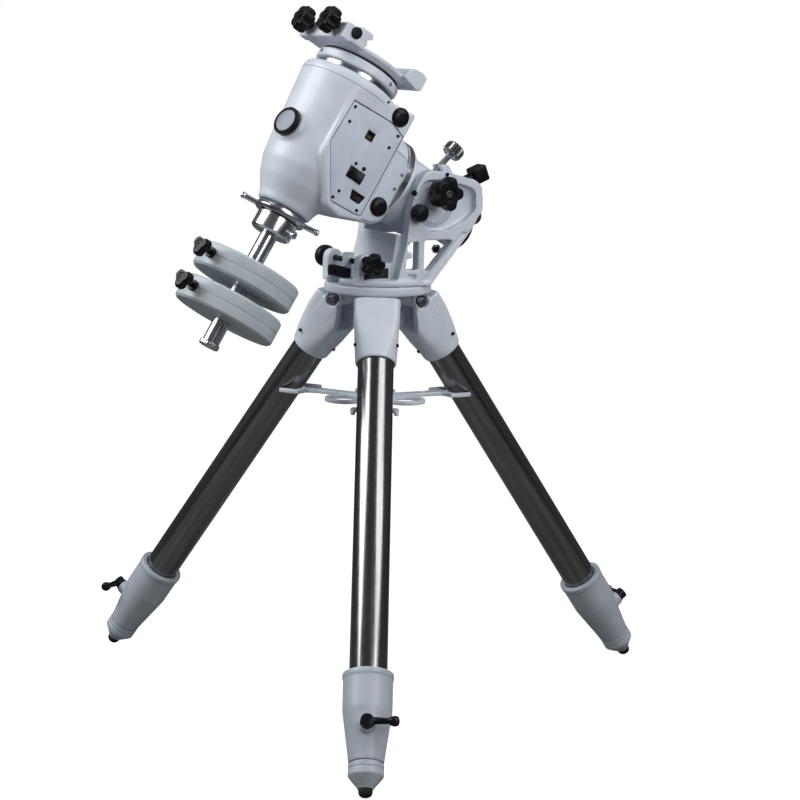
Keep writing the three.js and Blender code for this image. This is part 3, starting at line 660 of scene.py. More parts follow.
nut = fused("nut", [star(18, 5, -173.4, -189.3, dish=1.5)], [hole(5.8, -200, -170)])
piece(nut, "tray_nut_star", "tray_nut", HUB, BLACK, ["tray_knob"])

# ---- Azimuth base and fork, at the hub ----
PIVOT_X, PIVOT_Z = 54, 118
ARM_IN, ARM_OUT = 55, 73
KNOB_Z = 33
RECESS = 11
EAR_Y, EAR_HALF = 46, 8  # of the two ears for the azimuth screws
BAR_X, BAR_Z = 120, 136
LOCK_X, LOCK_Z = 54, 134
STOP_X, STOP_Z = 19, 106
UPPER_X, UPPER_Z, UPPER_TILT = 98, 165, 46
LOWER_TILT = 68
BOLT_HOLE = 5.6  # radius of the hole for an altitude bolt
FORK_ARM = [
    (-12, 0.4), (46, 0.4, 8), (110, 76, 22), (132, 108, 16), (129, 143, 14), (116, 152, 10), (72, 163, 30),
    (34, 167, 34), (19, 142, 22), (10, 110, 20), (4, 60, 30),
]
KIDNEY = [
    (15, 122, 22), (19, 95, 18), (42, 78, 22), (72, 80, 20), (100, 92, 16), (119, 108, 14), (118, 137, 12),
    (100, 144, 14), (68, 151, 22), (30, 152, 18),
]
WINDOW = [(4, 24, 2), (24, 24, 2), (24, 65, 2), (7, 63, 2), (6, 50, 2), (14, 49, 2), (14, 40, 2), (5, 40, 2)]
TRIANGLE = [(34, 22, 3), (44, 22, 3), (84, 66, 4), (34, 66, 4)]
LOWER_POCKET = [(30, 6, 3), (46, 6, 3), (106, 76, 4), (98, 77, 3)]
FOOT_SLOT = [(6, 11, 3), (22, 11, 3), (22, 17, 3), (6, 17, 3)]


yoke_solids = [
    lathe([(0, 0.4), (77, 0.4, 3), (77, 10, 4), (0, 10)]),
    *mirrored_pair(FORK_ARM, ARM_IN, ARM_OUT),
    slab([(-12, 0.4), (2, 0.4), (4, 74, 2), (-3, 74, 3), (-8, 40, 20)], -ARM_IN - 1, ARM_IN + 1),
    across(rod(8, -ARM_IN - 1, ARM_IN + 1), BAR_X, BAR_Z),
    slab([(BAR_X - 6, BAR_Z + 4), (BAR_X + 5, BAR_Z + 6), (108, 170, 3), (93, 170, 3), (97, 162)], -13, 13),
]
for y in (-EAR_Y, EAR_Y):
    yoke_solids.append(block(PEG_X - 13, -8, y - EAR_HALF, y + EAR_HALF, 0.4, KNOB_Z))
    yoke_solids.append(across(rod(13, y - EAR_HALF, y + EAR_HALF), PEG_X, KNOB_Z))
yoke = fused("yoke_casting", yoke_solids, [
    *mirrored_pair(KIDNEY, ARM_OUT - RECESS, ARM_OUT + 2),
    *mirrored_pair(WINDOW, ARM_IN - 2, ARM_OUT + 2),
    *mirrored_pair(TRIANGLE, ARM_IN - 2, ARM_OUT + 2),
    *mirrored_pair(LOWER_POCKET, ARM_OUT - 3, ARM_OUT + 2),
    *mirrored_pair(FOOT_SLOT, ARM_OUT - 6, ARM_OUT + 2),
])
cast(yoke, 1.4, 6)
carve(yoke, "DIFFERENCE", [
    across(hole(SCREW_HOLE, -72, 72), PEG_X, KNOB_Z),
    block(PEG_X - 40, PEG_X + 11, -18, 18, -1, KNOB_Z + 30),
    rod(26, -1, 12),
    across(rod(9.4, -67, 67), PIVOT_X, PIVOT_Z),
    across(hole(SCREW_HOLE, -80, -50), LOCK_X, LOCK_Z),
    across(hole(SCREW_HOLE, -80, -50), STOP_X, STOP_Z),
    moved(turned(hole(BOLT_HOLE, -30, 30), UPPER_TILT, "Y"), UPPER_X, 0, UPPER_Z),
    moved(turned(hole(BOLT_HOLE, -14, 22), LOWER_TILT, "Y"), BAR_X, 0, BAR_Z),
])
piece(yoke, "yoke_casting", "azimuth_base", HUB, WHITE, ["base_yoke"])


def facing(solid, side):
    """Z becomes the way out of the near side (-1) or the far side (1)."""
    return turned(solid, 90 if side < 0 else -90, "X")


# The altitude scales and their marks in the recesses, then the fork's screws, bumper and nuts.
SCALE_R, SCALE_THICK = 33, 3.2
SCALE_START, MARK_STEP, MARK_COUNT = 190, 5, 31  # degrees, degrees, marks
MARK_LONG, MARK_SHORT = 5.5, 3.2


def scale_marks():
    marks = []
    for k in range(MARK_COUNT):
        length = MARK_LONG if k % 2 == 0 else MARK_SHORT
        mark = block(SCALE_R - 1 - length, SCALE_R - 1, -0.22, 0.22, SCALE_THICK - 0.1, SCALE_THICK + 0.25)
        marks.append(turned(mark, SCALE_START + MARK_STEP * k))
    return together(*marks)


for side, label in ((-1, "near"), (1, "far")):
    centre = (PIVOT_X, side * (ARM_OUT - RECESS - 0.4), PIVOT_Z)
    ring = as_object("ring", moved(facing(pipe(SCALE_R, 25, 0, SCALE_THICK, 0.6), side), *centre))
    piece(ring, f"altitude_scale_{label}", "azimuth_base", HUB, PANEL_WHITE)
    marks = as_object("marks", moved(facing(scale_marks(), side), *centre))
    piece(marks, f"altitude_marks_{label}", "azimuth_base", HUB, MARKS)
FORK_SCREWS = (  # x, z, radius and the height of the face that each sits on
    (14, 134, 4.2, ARM_OUT - 0.3), (104, 158, 2.6, ARM_OUT - 0.3), (68, 160, 2.6, ARM_OUT - 0.3),
    (60, 52, 4.4, ARM_IN + 6),
)
fork_screws = [
    moved(facing(cap_screw(radius, 2.2), side), x, side * face, z)
    for side in (-1, 1) for x, z, radius, face in FORK_SCREWS
]
piece(
    as_object("fork_screws", together(*fork_screws)), "fork_screws", "azimuth_base", HUB, BLACK,
)
BUMPER = [(0, -2), (10, -2), (10.5, 2, 1.2), (8, 4.5, 1.5), (0, 4.8)]
bumper = moved(turned(lathe(BUMPER), 122, "Y"), 124, -64, 96)
piece(as_object("bumper", bumper), "fork_bumper", "azimuth_base", HUB, RUBBER)
nuts = [across(rod(7, *ends, 1, 6), 62, 52) for ends in ((-62, -56), (56, 62))]
piece(as_object("fastener", together(*nuts)), "fork_nuts", "azimuth_base", HUB, DARK_CHROME)

# Azimuth screws.
near = fused("near", [star(17, 5, 62.4, 81, dish=1.5), thread(3.9, 9.6, 63)])
swing(near, 90, "X")
knob_place = at(HUB, PEG_X, 0, KNOB_Z)
piece(
    near, "azimuth_star_near", "azimuth_screw_near", knob_place, BLACK,
    ["azimuth_knob_near"],
)
far_profile = [
    (0, 9.6), (3.9, 9.6), (3.9, 61.6), (9, 61.6, 0.6), (9, 62.5), (14.5, 63, 1), (16, 66, 2), (16, 73, 2.4),
    (12, 77, 2), (5, 77.3, 0.5), (4.5, 76.2), (0, 76.2),
]
far = as_object("far", along_y(lathe(far_profile)))
piece(far, "azimuth_round_far", "azimuth_screw_far", knob_place, BLACK, ["azimuth_knob_far"])
guide = fused("bracket", [
    block(PEG_X - 21, PEG_X - 14.4, -20, 20, 10.4, 26), block(PEG_X - 21, PEG_X - 8, 19, 23, 10.4, 24),
    block(PEG_X - 21, PEG_X - 8, -23, -19, 10.4, 24),
], [outward(hole(4, -100, -60), 17)])
bevelled(guide, 1.0)
piece(guide, "azimuth_guide", "azimuth_base", HUB, BLACK)

well = fused("well", [block(-54, -14, -54.7, -52, 3, 26), block(-54, -14, 52, 54.7, 3, 26)])
piece(bevelled(well, 1.0), "azimuth_side_covers", "azimuth_base", HUB, RUBBER)

# Altitude lock, stop and screws.
lock = fused("lock", [star(25, 5, 83, 106, dish=2.4, edge=3.5), rod(11, 67, 84, 0.8), rod(3.9, 56.6, 84)])
lock_screw = as_object("screw", on_near(cap_screw(5.2, 2.0), 0, -102.4, 0))
swing(lock, 90, "X")
lock_place = at(HUB, LOCK_X, 0, LOCK_Z)
piece(
    lock, "altitude_lock_star", "altitude_lock", lock_place, BLACK,
    ["altitude_lock_knob"],
)
piece(lock_screw, "altitude_lock_screw", "altitude_lock", lock_place, DARK_CHROME)
stop_profile = [
    (0, 56.6), (3.9, 56.6), (3.9, 74), (11, 74, 1), (13, 77, 1.5), (13, 86, 3), (10, 91, 4), (6, 92), (0, 92),
]
stop = as_object("stop", towards_near(knurled(stop_profile, 18, 0.7)))
stop_place = at(HUB, STOP_X, 0, STOP_Z)
piece(
    stop, "altitude_stop_round", "altitude_stop", stop_place, BLACK,
    ["altitude_stop_knob"],
)
UPPER_HEAD = [
    (0, 26), (12, 26, 1), (15, 29, 1.5), (15, 41, 1.5), (12, 44, 1), (5, 44, 0.5), (4.4, 42.5), (0, 42.5),
]
upper = fused("upper", [thread(4.7, -9, 27), knurled(UPPER_HEAD, 14, 2.2)])
upper_place = tilted(at(HUB, UPPER_X, 0, UPPER_Z), UPPER_TILT, "Y")
piece(
    upper, "altitude_bolt_upper", "altitude_upper", upper_place, DARK_CHROME,
    ["altitude_screw_upper"],
)
grip = fused("grip", [block(-12, 12, -12, 12, 39, 62)])
bevelled(grip, 2.6, 4)
lower = fused("lower", [thread(4.7, -9, 26), rod(7, 24, 40, 1)])
lower_place = tilted(at(HUB, BAR_X, 0, BAR_Z), LOWER_TILT, "Y")
piece(
    lower, "altitude_bolt_lower", "altitude_lower", lower_place, BLACK,
    ["altitude_screw_lower"],
)
piece(grip, "altitude_grip_lower", "altitude_lower", lower_place, BLACK)

# ---- Polar head ----
FLANGE_Z = 52
POLAR_SHELL = [
    (0, -96), (28, -96, 2), (28, -42, 4), (40, -26, 8), (52, -10, 10), (52, 44), (60, 46, 2),
    (60, FLANGE_Z, 1), (0, FLANGE_Z),
]
polar = fused(
    "polar_casting", [lathe(POLAR_SHELL), along_y(rod(38, -53.5, 53.5)), along_y(rod(9, -65, 65))],
    [
        rod(47, 20, FLANGE_Z + 1), rod(20.4, -100, 22), across(rod(10, -24, 24), -36, -2),
        block(-38, -28, -20, 20, -6, 21),
    ],
)
piece(cast(polar, 1.4, 5), "polar_casting", "polar_head", POLAR, WHITE, ["ra_housing"])
RA_RING = [
    (36, 52.4, 0.5), (62.2, 52.4, 0.6), (63, 53.6, 0.5), (63, 62.6, 0.6), (62, 63.9, 0.5), (36, 63.9, 0.5),
    (36, 52.4),
]
ring = as_object("ring", lathe(RA_RING, RING_SIDES))
piece(ring, "polar_ring", "polar_head", POLAR, CHROME, ["ra_ring"])
SCOPE_COVER = [(0, -102), (23, -102, 1), (26, -100, 1), (26, -96.4, 0.5), (0, -96.4)]
cover = as_object("cover", knurled(SCOPE_COVER, 36, 0.6))
piece(cover, "polar_scope_cover", "polar_head", POLAR, BLACK, ["polar_scope_cap"])

# ---- Declination head ----
FACE_Y = 70
RA_FACE = 111.7
BARREL = [
    (0, -118), (40, -118, 2.5), (43, -106, 6), (55, -84, 16), (63, -60, 24), (66, -30, 30), (68, 10, 30),
    (71, 50, 20), (73, 76, 2), (73, 80, 2), (71, 88, 3), (62, 91, 2), (0, 91),
]
FACE_OUTLINE = [
    (-26, 77, 6), (80, 88, 3), (80, 34, 2), (98, 31, 5), (RA_FACE, 20, 5), (RA_FACE, -66, 8), (100, -78, 8),
    (46, -96, 10), (20, -92, 12), (-25, -34, 20),
]
PANEL = [(-17, 53, 2), (51, 58, 2), (76, 50, 2), (76, -76, 2), (66, -79, 2), (24, -82, 5), (-20, -13, 3)]
SIDE_PANEL = [(80, 30, 1.5), (97, 28, 4), (108.7, 18, 4), (108.7, -64, 5), (98, -75, 5), (80, -80, 1.5)]
CAP_TURN, CAP_Z = 16, -14


def scaled(outline, cx, cz, share):
    """An outline made larger or smaller about a point."""
    return [(cx + (c[0] - cx) * share, cz + (c[1] - cz) * share, *c[2:]) for c in outline]


def at_front(solid):
    """A solid along Z, turned to the cap's place on the side that faces the pole."""
    return moved(turned(turned(along_x(solid), 180), CAP_TURN), 0, 0, CAP_Z)


CAP_BOSS = [(0, 50), (27, 50), (24.5, 64, 3), (24, 67.7, 1), (0, 67.7)]
HOLLOW = [(10, 66), (74, 70), (74, 26), (104, 22), (104, -62), (48, -84), (20, -76)]
OUTSIDE = -FACE_Y - 2  # where a cut into the near face starts
SHELF = -FACE_Y + 6  # where the panels' seats end
head = fused("dec_casting", [
    lathe(BARREL), slab(FACE_OUTLINE, -FACE_Y, 50), along_x(rod(63, 60, RA_FACE)),
    at_front(lathe(CAP_BOSS)),
])
cast(head, 1.9, 16)
carve(head, "DIFFERENCE", [
    rod(54, -44, 74), rod(30, 73, 96), rod(22.4, -120, 0), slab(HOLLOW, -58, 42),
    slab(scaled(PANEL, 29, -12, 0.86), OUTSIDE, -56),
    slab(scaled(PANEL, 29, -12, 1.03), OUTSIDE, SHELF),
    slab(scaled(SIDE_PANEL, 95, -25, 1.018), OUTSIDE, SHELF),
    along_x(rod(20.4, 90, RA_FACE + 2)), along_x(rod(38, 66, 103.8)),
    pipe(74, 70.6, 74.6, 75.4, 0.2),
])
piece(head, "dec_casting", "dec_head", DEC, WHITE, ["dec_housing"])

SWITCH_X, SWITCH_Z, SWITCH_LONG, SWITCH_HIGH, SWITCH_TILT = 39, -33, 25, 15, 6
CONNECTOR_X, CONNECTOR_Z = 57, -58.5
CONNECTOR = [(45, -52, 1.5), (69, -52, 1.5), (65, -65, 2), (49, -65, 2)]
PORT = [(23.5, 18.5, 0.8), (36.5, 18.5, 0.8), (36.5, 31.5, 0.8), (23.5, 31.5, 0.8)]


def switch_block(half_long, half_high, y0, y1):
    """A block round the switch's middle."""
    return block(
        SWITCH_X - half_long, SWITCH_X + half_long, y0, y1, SWITCH_Z - half_high, SWITCH_Z + half_high
    )


panel = fused("panel", [slab(PANEL, -FACE_Y + 0.4, -FACE_Y + 5.7)], [
    switch_block(13.5, 8.5, OUTSIDE, -50),
    slab(scaled(CONNECTOR, CONNECTOR_X, CONNECTOR_Z, 1.06), OUTSIDE, -FACE_Y + 4),
    slab(scaled(PORT, 30, 25, 1.05), OUTSIDE, -FACE_Y + 4),
])
piece(bevelled(panel, 0.7), "dec_panel", "dec_head", DEC, PANEL_WHITE, ["dec_cover"])
side_panel = fused("side", [slab(SIDE_PANEL, -FACE_Y + 0.1, -FACE_Y + 5.7)])
piece(
    bevelled(side_panel, 0.9), "dec_side_panel", "dec_head", DEC, PANEL_WHITE,
    ["dec_side_cover"],
)

PANEL_SCREWS = [
    (-12, 47), (-9, 25), (69, 48), (65, 27), (28, -65), (24, -77), (67, -74), (104, 5), (104, -18),
]
screws = together(*[on_near(cap_screw(2.3, 1.0), x, -FACE_Y + 0.4, z) for x, z in PANEL_SCREWS])
piece(as_object("screws", screws), "panel_screws", "dec_head", DEC, BLACK)
plugs = together(
    on_near(dome_plug(14, 5.8), 58, -FACE_Y, 72), on_near(dome_plug(14, 5.8), 95, -FACE_Y + 0.3, -52),
)
piece(as_object("plugs", plugs), "domed_plugs", "dec_head", DEC, BLACK)
lamps = together(
    on_near(dome_plug(2.2, 2.0), 31, -FACE_Y + 0.3, -19),
    on_near(dome_plug(3.0, 2.4), 46, -FACE_Y + 0.3, -19),
)
piece(as_object("lamps", lamps), "panel_lamps", "dec_head", DEC, BLACK)
port = fused("port", [slab(PORT, -FACE_Y - 0.4, -FACE_Y + 4.0)], [
    block(25.5, 34.5, OUTSIDE, -FACE_Y + 2.6, 20.5, 27.5),
    block(27.8, 32.2, OUTSIDE, -FACE_Y + 2.6, 27, 29.6),
])
piece(bevelled(port, 0.3, 2), "panel_port", "dec_head", DEC, BLACK)
CONTACT_STEP, CONTACT_COUNT = 0.95, 8
first_contact = block(26.3, 26.7, -FACE_Y + 1.4, -FACE_Y + 2.5, 21, 25)
contacts = together(*[moved(first_contact, CONTACT_STEP * k, 0, 0) for k in range(CONTACT_COUNT)])
piece(as_object("contacts", contacts), "port_contacts", "dec_head", DEC, BRONZE)
connector = fused(
    "connector", [slab(CONNECTOR, -FACE_Y - 0.6, -FACE_Y + 4.0)],
    [slab(scaled(CONNECTOR, CONNECTOR_X, CONNECTOR_Z, 0.8), OUTSIDE, -FACE_Y + 3)],
)
piece(bevelled(connector, 0.3, 2), "panel_connector", "dec_head", DEC, BLACK)
PIN_STEP = 2.8
pins = []
for row, count in ((-56.3, 5), (-60.4, 4)):
    for k in range(count):
        x = CONNECTOR_X + PIN_STEP * (k - (count - 1) / 2)
        pins.append(on_near(rod(0.6, -3.2, -0.2, 0.2, 16), x, -FACE_Y, row))
piece(as_object("pins", together(*pins)), "connector_pins", "dec_head", DEC, BRONZE)
bezel = fused(
    "bezel", [switch_block(13.4, 8.4, -FACE_Y - 0.9, -FACE_Y + 5)],
    [switch_block(12.8, 7.8, -FACE_Y - 4, -FACE_Y + 9)],
)
piece(bevelled(bezel, 0.25, 2), "switch_bezel", "dec_head", DEC, BLACK)
half = SWITCH_LONG / 2 - 0.3
rocker_points = [
    (-half, -1.9), (-half + 3, -1.5), (0, -0.2), (half - 3, -1.5), (half, -1.9), (half - 2, 8), (2 - half, 8),
]
rocker = slab(rocker_points, -SWITCH_HIGH / 2 + 0.3, SWITCH_HIGH / 2 - 0.3)
# The outline's second coordinate becomes depth: from the near face inwards.
rocker = placed(rocker, Matrix(((1, 0, 0, 0), (0, 0, 1, 0), (0, -1, 0, 0), (0, 0, 0, 1))))
rocker = moved(turned(moved(rocker, 0, -5, 0), -SWITCH_TILT), SWITCH_X, -FACE_Y + 4, SWITCH_Z)
rocker = bevelled(fused("rocker", [rocker]), 0.4, 2)
piece(rocker, "rocker_switch", "switch_rocker", DEC, BLACK, ["power_switch"])

CAP_RING = [
    (0, 68), (20, 68), (21, 70, 1), (21, 76, 1.6), (17.6, 77.5, 0.6), (16.6, 75.6, 0.4), (0, 75.6),
]
cap = as_object("cap", at_front(lathe(CAP_RING)))
piece(cap, "front_cap_ring", "dec_head", DEC, BLACK, ["front_cap"])
disc = as_object("disc", at_front(lathe([(0, 75.4), (16.4, 75.4), (16.2, 76.3, 0.4), (0, 77.0)])))
piece(disc, "front_cap_disc", "dec_head", DEC, CAP_BLUE)
DEC_RING = [
    (42, 91.4), (56.4, 91.4, 0.5), (57.2, 92.4, 0.5), (57.2, 98, 0.5), (56.4, 98.9, 0.5), (42, 98.9),
    (42, 91.4),
]
ring = as_object("ring", lathe(DEC_RING, RING_SIDES))
piece(ring, "dec_ring_chrome", "dec_head", DEC, CHROME, ["dec_ring"])
body_screw = cap_screw(1.8, 0.8)
body_screws = together(on_rim(body_screw, 70.7, 62, (205, 150, 95, 40)), on_near(body_screw, 30, -FACE_Y, 80))
piece(as_object("screws", body_screws), "body_screws", "dec_head", DEC, BLACK)

# ---- Declination axis: bar, collar, clutch and weights ----
COLLAR = [
    (22.4, -149, 0.4), (12.9, -150.5, 0.4), (12.9, -158, 0.5), (27.5, -158, 1), (30, -155, 1.5),
    (30, -132.5, 1),
    (26, -131.6, 0.5), (26, -120.6, 0.5), (22.4, -120.6, 0.4), (22.4, -149),
]
COLLAR_PEG = [(0, 26), (3.2, 26), (3.2, 33), (5.6, 33.4, 0.6), (5.6, 39, 1), (0, 40)]
peg = outward(lathe(COLLAR_PEG, SMALL_SIDES), -146, -60)
collar = fused("collar", [lathe(COLLAR, TURNED_SIDES), peg])
piece(collar, "bar_collar", "dec_axis", DEC, CHROME, ["shaft_collar"])
bar_profile = [(0, -332), (12.5, -332, 0.6), (12.5, -62, 0.6), (0, -62)]
bar = as_object("bar", lathe(bar_profile, TURNED_SIDES))
piece(bar, "weight_bar", "dec_axis", DEC, CHROME, ["counterweight_shaft"])
BAR_END = [(0, -340), (13.5, -340, 1), (15, -338, 1), (15, -332.4, 0.8), (0, -332.4)]
end_cap = as_object("end", knurled(BAR_END, 30, 0.4))
piece(end_cap, "bar_end_cap", "dec_axis", DEC, CHROME, ["shaft_end_cap"])
CLUTCH = [
    (27, -131, 0.4), (36.6, -131, 1), (39, -126, 2.5), (36.6, -120.6, 1), (27, -120.6, 0.4), (27, -131),
]
CLUTCH_LEVER = [
    (0, 32), (4.6, 32), (3.9, 40, 2), (3.9, 56, 1), (4.6, 58, 0.8), (4.6, 60, 0.8), (3.4, 62, 0.8), (0, 62),
]
levers = [outward(lathe(CLUTCH_LEVER, SMALL_SIDES), -126, turn) for turn in (150, -40)]
clutch = fused("clutch", [lathe(CLUTCH, TURNED_SIDES), *levers])
piece(clutch, "clutch_ring_levers", "clutch", DEC, CHROME, ["clutch_ring"])

WEIGHT_TOPS = (-210, -262)
WEIGHT_THICK, WEIGHT_R = 36, 76
GROOVE_R = WEIGHT_R - 0.8
LOCK_TURN = 196


def weight_profile(bottom, middle, top):
    """A disc with a groove in each face and a line round the rim."""
    return [
        (13.1, bottom, 1), (26, bottom, 1), (27, bottom + 1.2, 0.6), (30, bottom + 1.2, 0.6),
        (31, bottom, 0.6), (73, bottom, 1), (WEIGHT_R, bottom + 3, 2), (WEIGHT_R, middle - 0.7, 0.3),
        (GROOVE_R, middle - 0.2, 0.2), (GROOVE_R, middle + 0.2, 0.2), (WEIGHT_R, middle + 0.7, 0.3),
        (WEIGHT_R, top - 3, 2), (73, top, 1), (31, top, 0.6), (30, top - 1.2, 0.6), (27, top - 1.2, 0.6),
        (26, top, 1), (13.1, top, 1), (13.1, bottom),
    ]


for k, top in enumerate(WEIGHT_TOPS, start=1):
    bottom = top - WEIGHT_THICK
    middle = top - WEIGHT_THICK / 2
    disc = fused(
        "disc", [lathe(weight_profile(bottom, middle, top), WEIGHT_SIDES)],
        [outward(hole(SCREW_HOLE, 10, WEIGHT_R + 2), middle, LOCK_TURN)],
    )
    piece(
        disc, f"weight_disc_{k}", f"weight_{k}", DEC, WEIGHT_GREY, [f"counterweight_{k}"],
    )
    knob = fused("knob", [
        star(15, 3, WEIGHT_R + 18, WEIGHT_R + 30, depth=0.5, dish=1.2), thread(3.9, 14.5, WEIGHT_R + 8),
        hole(3.7, WEIGHT_R + 5, WEIGHT_R + 19), rod(8, WEIGHT_R + 0.7, WEIGHT_R + 6, 0.8, SMALL_SIDES),
    ])
    swing(knob, 90, "Y")
    knob_turn = tilted(at(DEC, 0, 0, middle), LOCK_TURN, "Z")
    piece(
        knob, f"weight_star_{k}", f"weight_lock_{k}", knob_turn, BLACK,
        [f"weight_knob_{k}"],
    )

# ---- Saddle ----
SADDLE_DISC = [
    (14, 99.3), (61.6, 99.3, 0.6), (63.2, 101, 0.8), (63.2, 109.6, 0.8), (62, 110.6, 0.4), (62, 111.2, 0.3),
    (58, 113.8, 0.6), (14, 113.8), (14, 99.3),
]
setting = fused("setting", [lathe(SADDLE_DISC, RING_SIDES)])
piece(setting, "setting_disc", "dec_axis", DEC, WHITE, ["saddle_disc"])
# A black ring in the gap between the setting disc and the saddle: painted shade, standing in for the shadow
# under the saddle's rounded underside.
PAINTED_SHADE_RING = [(14, 113.9), (59, 113.9, 0.4), (59, 116.4, 0.4), (14, 116.4), (14, 113.9)]
painted_shade_ring = as_object("painted_shade_ring", lathe(PAINTED_SHADE_RING, RING_SIDES))
piece(painted_shade_ring, "saddle_painted_shade_ring", "dec_axis", DEC, RUBBER)
SADDLE_0, FLOOR_T = 116.6, 128  # heights of the saddle's underside and of its floor
HALF = 64  # of the saddle's width
SCREW_T, SCREW_Y = 135, 38
SOUTH_JAW = [
    (34, FLOOR_T - 3), (64, FLOOR_T - 9, 3), (70, FLOOR_T - 6, 4), (70, 142, 3), (60, 146, 3), (46, 144, 1.5),
    (38.5, 137, 2), (37, FLOOR_T),
]
NORTH_WALL = [(-80, SADDLE_0 + 2, 3), (-65, SADDLE_0 + 2), (-65, 143, 3), (-80, 143, 4)]
saddle = fused("saddle", [
    lathe([(0, SADDLE_0), (58, SADDLE_0, 2), (66, FLOOR_T - 6, 3), (66, FLOOR_T, 1.5), (0, FLOOR_T)]),
    slab([(-80, SADDLE_0 + 2, 3), (40, SADDLE_0 + 2, 3), (40, FLOOR_T), (-80, FLOOR_T)], -50, 50),
    slab(SOUTH_JAW, -HALF, HALF), slab(NORTH_WALL, -HALF, HALF),
    block(-80, -40, -HALF, HALF, SADDLE_0 + 4, FLOOR_T),
])
cast(saddle, 1.2, 5)
carve(saddle, "DIFFERENCE", [
    *[moved(along_x(hole(5.1, -90, -56)), 0, y, SCREW_T) for y in (-SCREW_Y, SCREW_Y)],
    rod(11, SADDLE_0 - 2, FLOOR_T + 2),
])
piece(saddle, "saddle_casting", "dec_axis", DEC, WHITE, ["saddle_base"])
FLOOR_SCREWS = ((0, -42), (0, 42), (8, -57), (20, -54), (24, 24))
floor_screws = together(*[moved(cap_screw(4, 1.2), x, y, FLOOR_T - 0.4) for x, y in FLOOR_SCREWS])
disc_screws = on_rim(cap_screw(2.8, 0.8), 63, 105.5, (-66, 54, 174))
saddle_screws = as_object("screws", together(floor_screws, disc_screws))
piece(saddle_screws, "saddle_screws", "dec_axis", DEC, BLACK)
JAW = [
    (-57, FLOOR_T + 0.5), (-36, FLOOR_T + 0.5, 1), (-40, 137, 1.5), (-32, 142, 1.5), (-36, 148.5, 3),
    (-57, 148.5, 3),
]
jaw = fused("jaw", [slab(JAW, -60, 60)])
bevelled(jaw, 1.4, 4)
piece(jaw, "saddle_jaw_block", "jaw", DEC, WHITE, ["saddle_jaw"])
end_caps = together(*[
    across(rod(8.5, *ends, 2.4, SMALL_SIDES), -62, FLOOR_T + 7) for ends in ((-67, -60.7), (60.7, 67))
])
piece(as_object("end_caps", end_caps), "saddle_end_caps", "dec_axis", DEC, BLACK)
for k, y in ((1, -SCREW_Y), (2, SCREW_Y)):
    knob = fused("knob", [
        star(19.5, 7, -87.4, -106, depth=0.27, dish=2.4, edge=3.4), rod(4.4, -88, -57.7, 0.4, SMALL_SIDES),
    ])
    swing(knob, 90, "Y")
    piece(
        knob, f"saddle_star_{k}", f"saddle_screw_{k}", at(DEC, 0, y, SCREW_T), BLACK,
        [f"saddle_knob_{k}"],
    )
# ---- Studio ----
def mixed_by_ray(nodes, links, to_others, to_camera):
    """One shader for the rays of the camera and another for the rays that light the object."""
    choose = nodes.new("ShaderNodeMixShader")
    path = nodes.new("ShaderNodeLightPath")
    links.new(path.outputs["Is Camera Ray"], choose.inputs["Fac"])
    links.new(to_others, choose.inputs[1])
    links.new(to_camera, choose.inputs[2])
    return choose.outputs["Shader"]


def studio_world(seen, around, tint):
    world = bpy.data.worlds.new("studio")
    bpy.context.scene.world = world
    world.use_nodes = True
    nodes, links = world.node_tree.nodes, world.node_tree.links
    nodes.clear()
    backdrop = nodes.new("ShaderNodeBackground")
    backdrop.inputs["Color"].default_value = (1, 1, 1, 1)
    backdrop.inputs["Strength"].default_value = seen
    ambient = nodes.new("ShaderNodeBackground")
    ambient.inputs["Color"].default_value = (*tint, 1)
    ambient.inputs["Strength"].default_value = around
    out = nodes.new("ShaderNodeOutputWorld")
    both = mixed_by_ray(nodes, links, ambient.outputs["Background"], backdrop.outputs["Background"])
    links.new(both, out.inputs["Surface"])


def area_light(name, azimuth, elevation, distance, size, power, aim):
    """A soft light that looks at a point; azimuth is from -Y towards +X, in degrees."""
    data = bpy.data.lights.new(name, "AREA")
    data.shape = "RECTANGLE"
    data.size, data.size_y = size
    data.energy = power
    lamp = bpy.data.objects.new(name, data)
    bpy.context.scene.collection.objects.link(lamp)
    a, e = math.radians(azimuth), math.radians(elevation)
    away = Vector((math.sin(a) * math.cos(e), -math.cos(a) * math.cos(e), math.sin(e)))
    lamp.location = aim + away * distance
    lamp.rotation_mode = "QUATERNION"
    lamp.rotation_quaternion = (-away).to_track_quat("-Z", "Y")


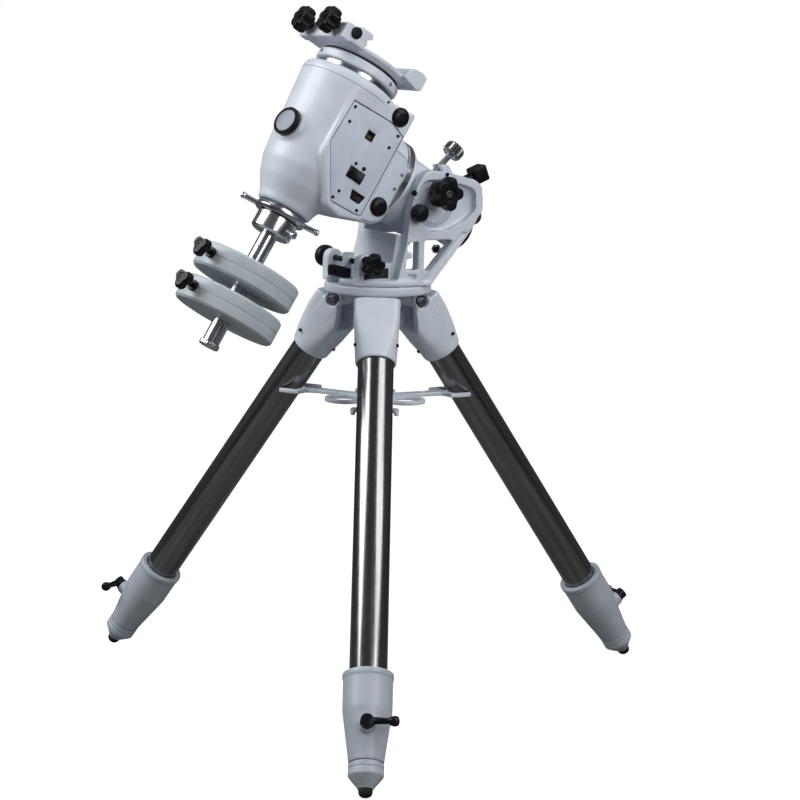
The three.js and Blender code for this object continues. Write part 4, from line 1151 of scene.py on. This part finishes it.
bpy.context.scene.view_settings.view_transform = "Standard"
studio_world(1.0, 0.1, (0.93, 0.96, 1.0))
tripod_foot = Vector((HUB.translation.x, HUB.translation.y, 0))
HEADING = -30.66  # the camera's azimuth, in degrees from -Y towards +X
head_aim = tripod_foot + Vector((0, 0, 0.9))
area_light("key", HEADING - 82, 32, 2.6, (1.9, 1.8), 66, head_aim)
area_light("strip", HEADING + 63, 38, 2.4, (1.5, 1.7), 30, head_aim)
area_light("front", HEADING + 32, 12, 2.0, (1.2, 0.6), 11, head_aim)
area_light("top", HEADING + 180, 74, 2.4, (2.0, 2.0), 11, head_aim)

FLOOR_REACH = 30.0
mesh = bpy.data.meshes.new("floor")
corners = [(x * FLOOR_REACH, y * FLOOR_REACH, 0) for x, y in ((-1, -1), (1, -1), (1, 1), (-1, 1))]
mesh.from_pydata(corners, [], [(0, 1, 2, 3)])
floor = bpy.data.objects.new("floor", mesh)
bpy.context.scene.collection.objects.link(floor)
paper = finish_material(
    "pale_floor", (0.15, 0.15, 0.15), (0.18, 0.18, 0.18), 0.0, (0.8, 0.9), spots=3, fine=60,
)
nodes, links = paper.node_tree.nodes, paper.node_tree.links
lit = nodes.new("ShaderNodeEmission")
lit.inputs["Strength"].default_value = 1.0
softly = nodes.new("ShaderNodeAddShader")
links.new(lit.outputs["Emission"], softly.inputs[0])
links.new(nodes["Principled BSDF"].outputs["BSDF"], softly.inputs[1])
both = mixed_by_ray(nodes, links, nodes["Principled BSDF"].outputs["BSDF"], softly.outputs["Shader"])
links.new(both, nodes["Material Output"].inputs["Surface"])
mesh.materials.append(paper)

# ---- Camera: the viewing angle of the photograph ----
EYE = Vector((-1.59805, -2.76790, 0.96956))  # from the tripod's axis on the floor, metres
PITCH, ROLL = -9.35, 1.5  # degrees
LENS, SENSOR = 99.24, 36
camera_data = bpy.data.cameras.new("camera")
camera_data.lens = LENS
camera_data.sensor_width = SENSOR
camera = bpy.data.objects.new("camera", camera_data)
bpy.context.scene.collection.objects.link(camera)
look = (
    Matrix.Rotation(math.radians(HEADING), 4, "Z") @ Matrix.Rotation(math.radians(90 + PITCH), 4, "X")
    @ Matrix.Rotation(math.radians(ROLL), 4, "Z")
)
camera.matrix_world = Matrix.Translation(tripod_foot + EYE) @ look
bpy.context.scene.camera = camera

bpy.context.view_layer.update()
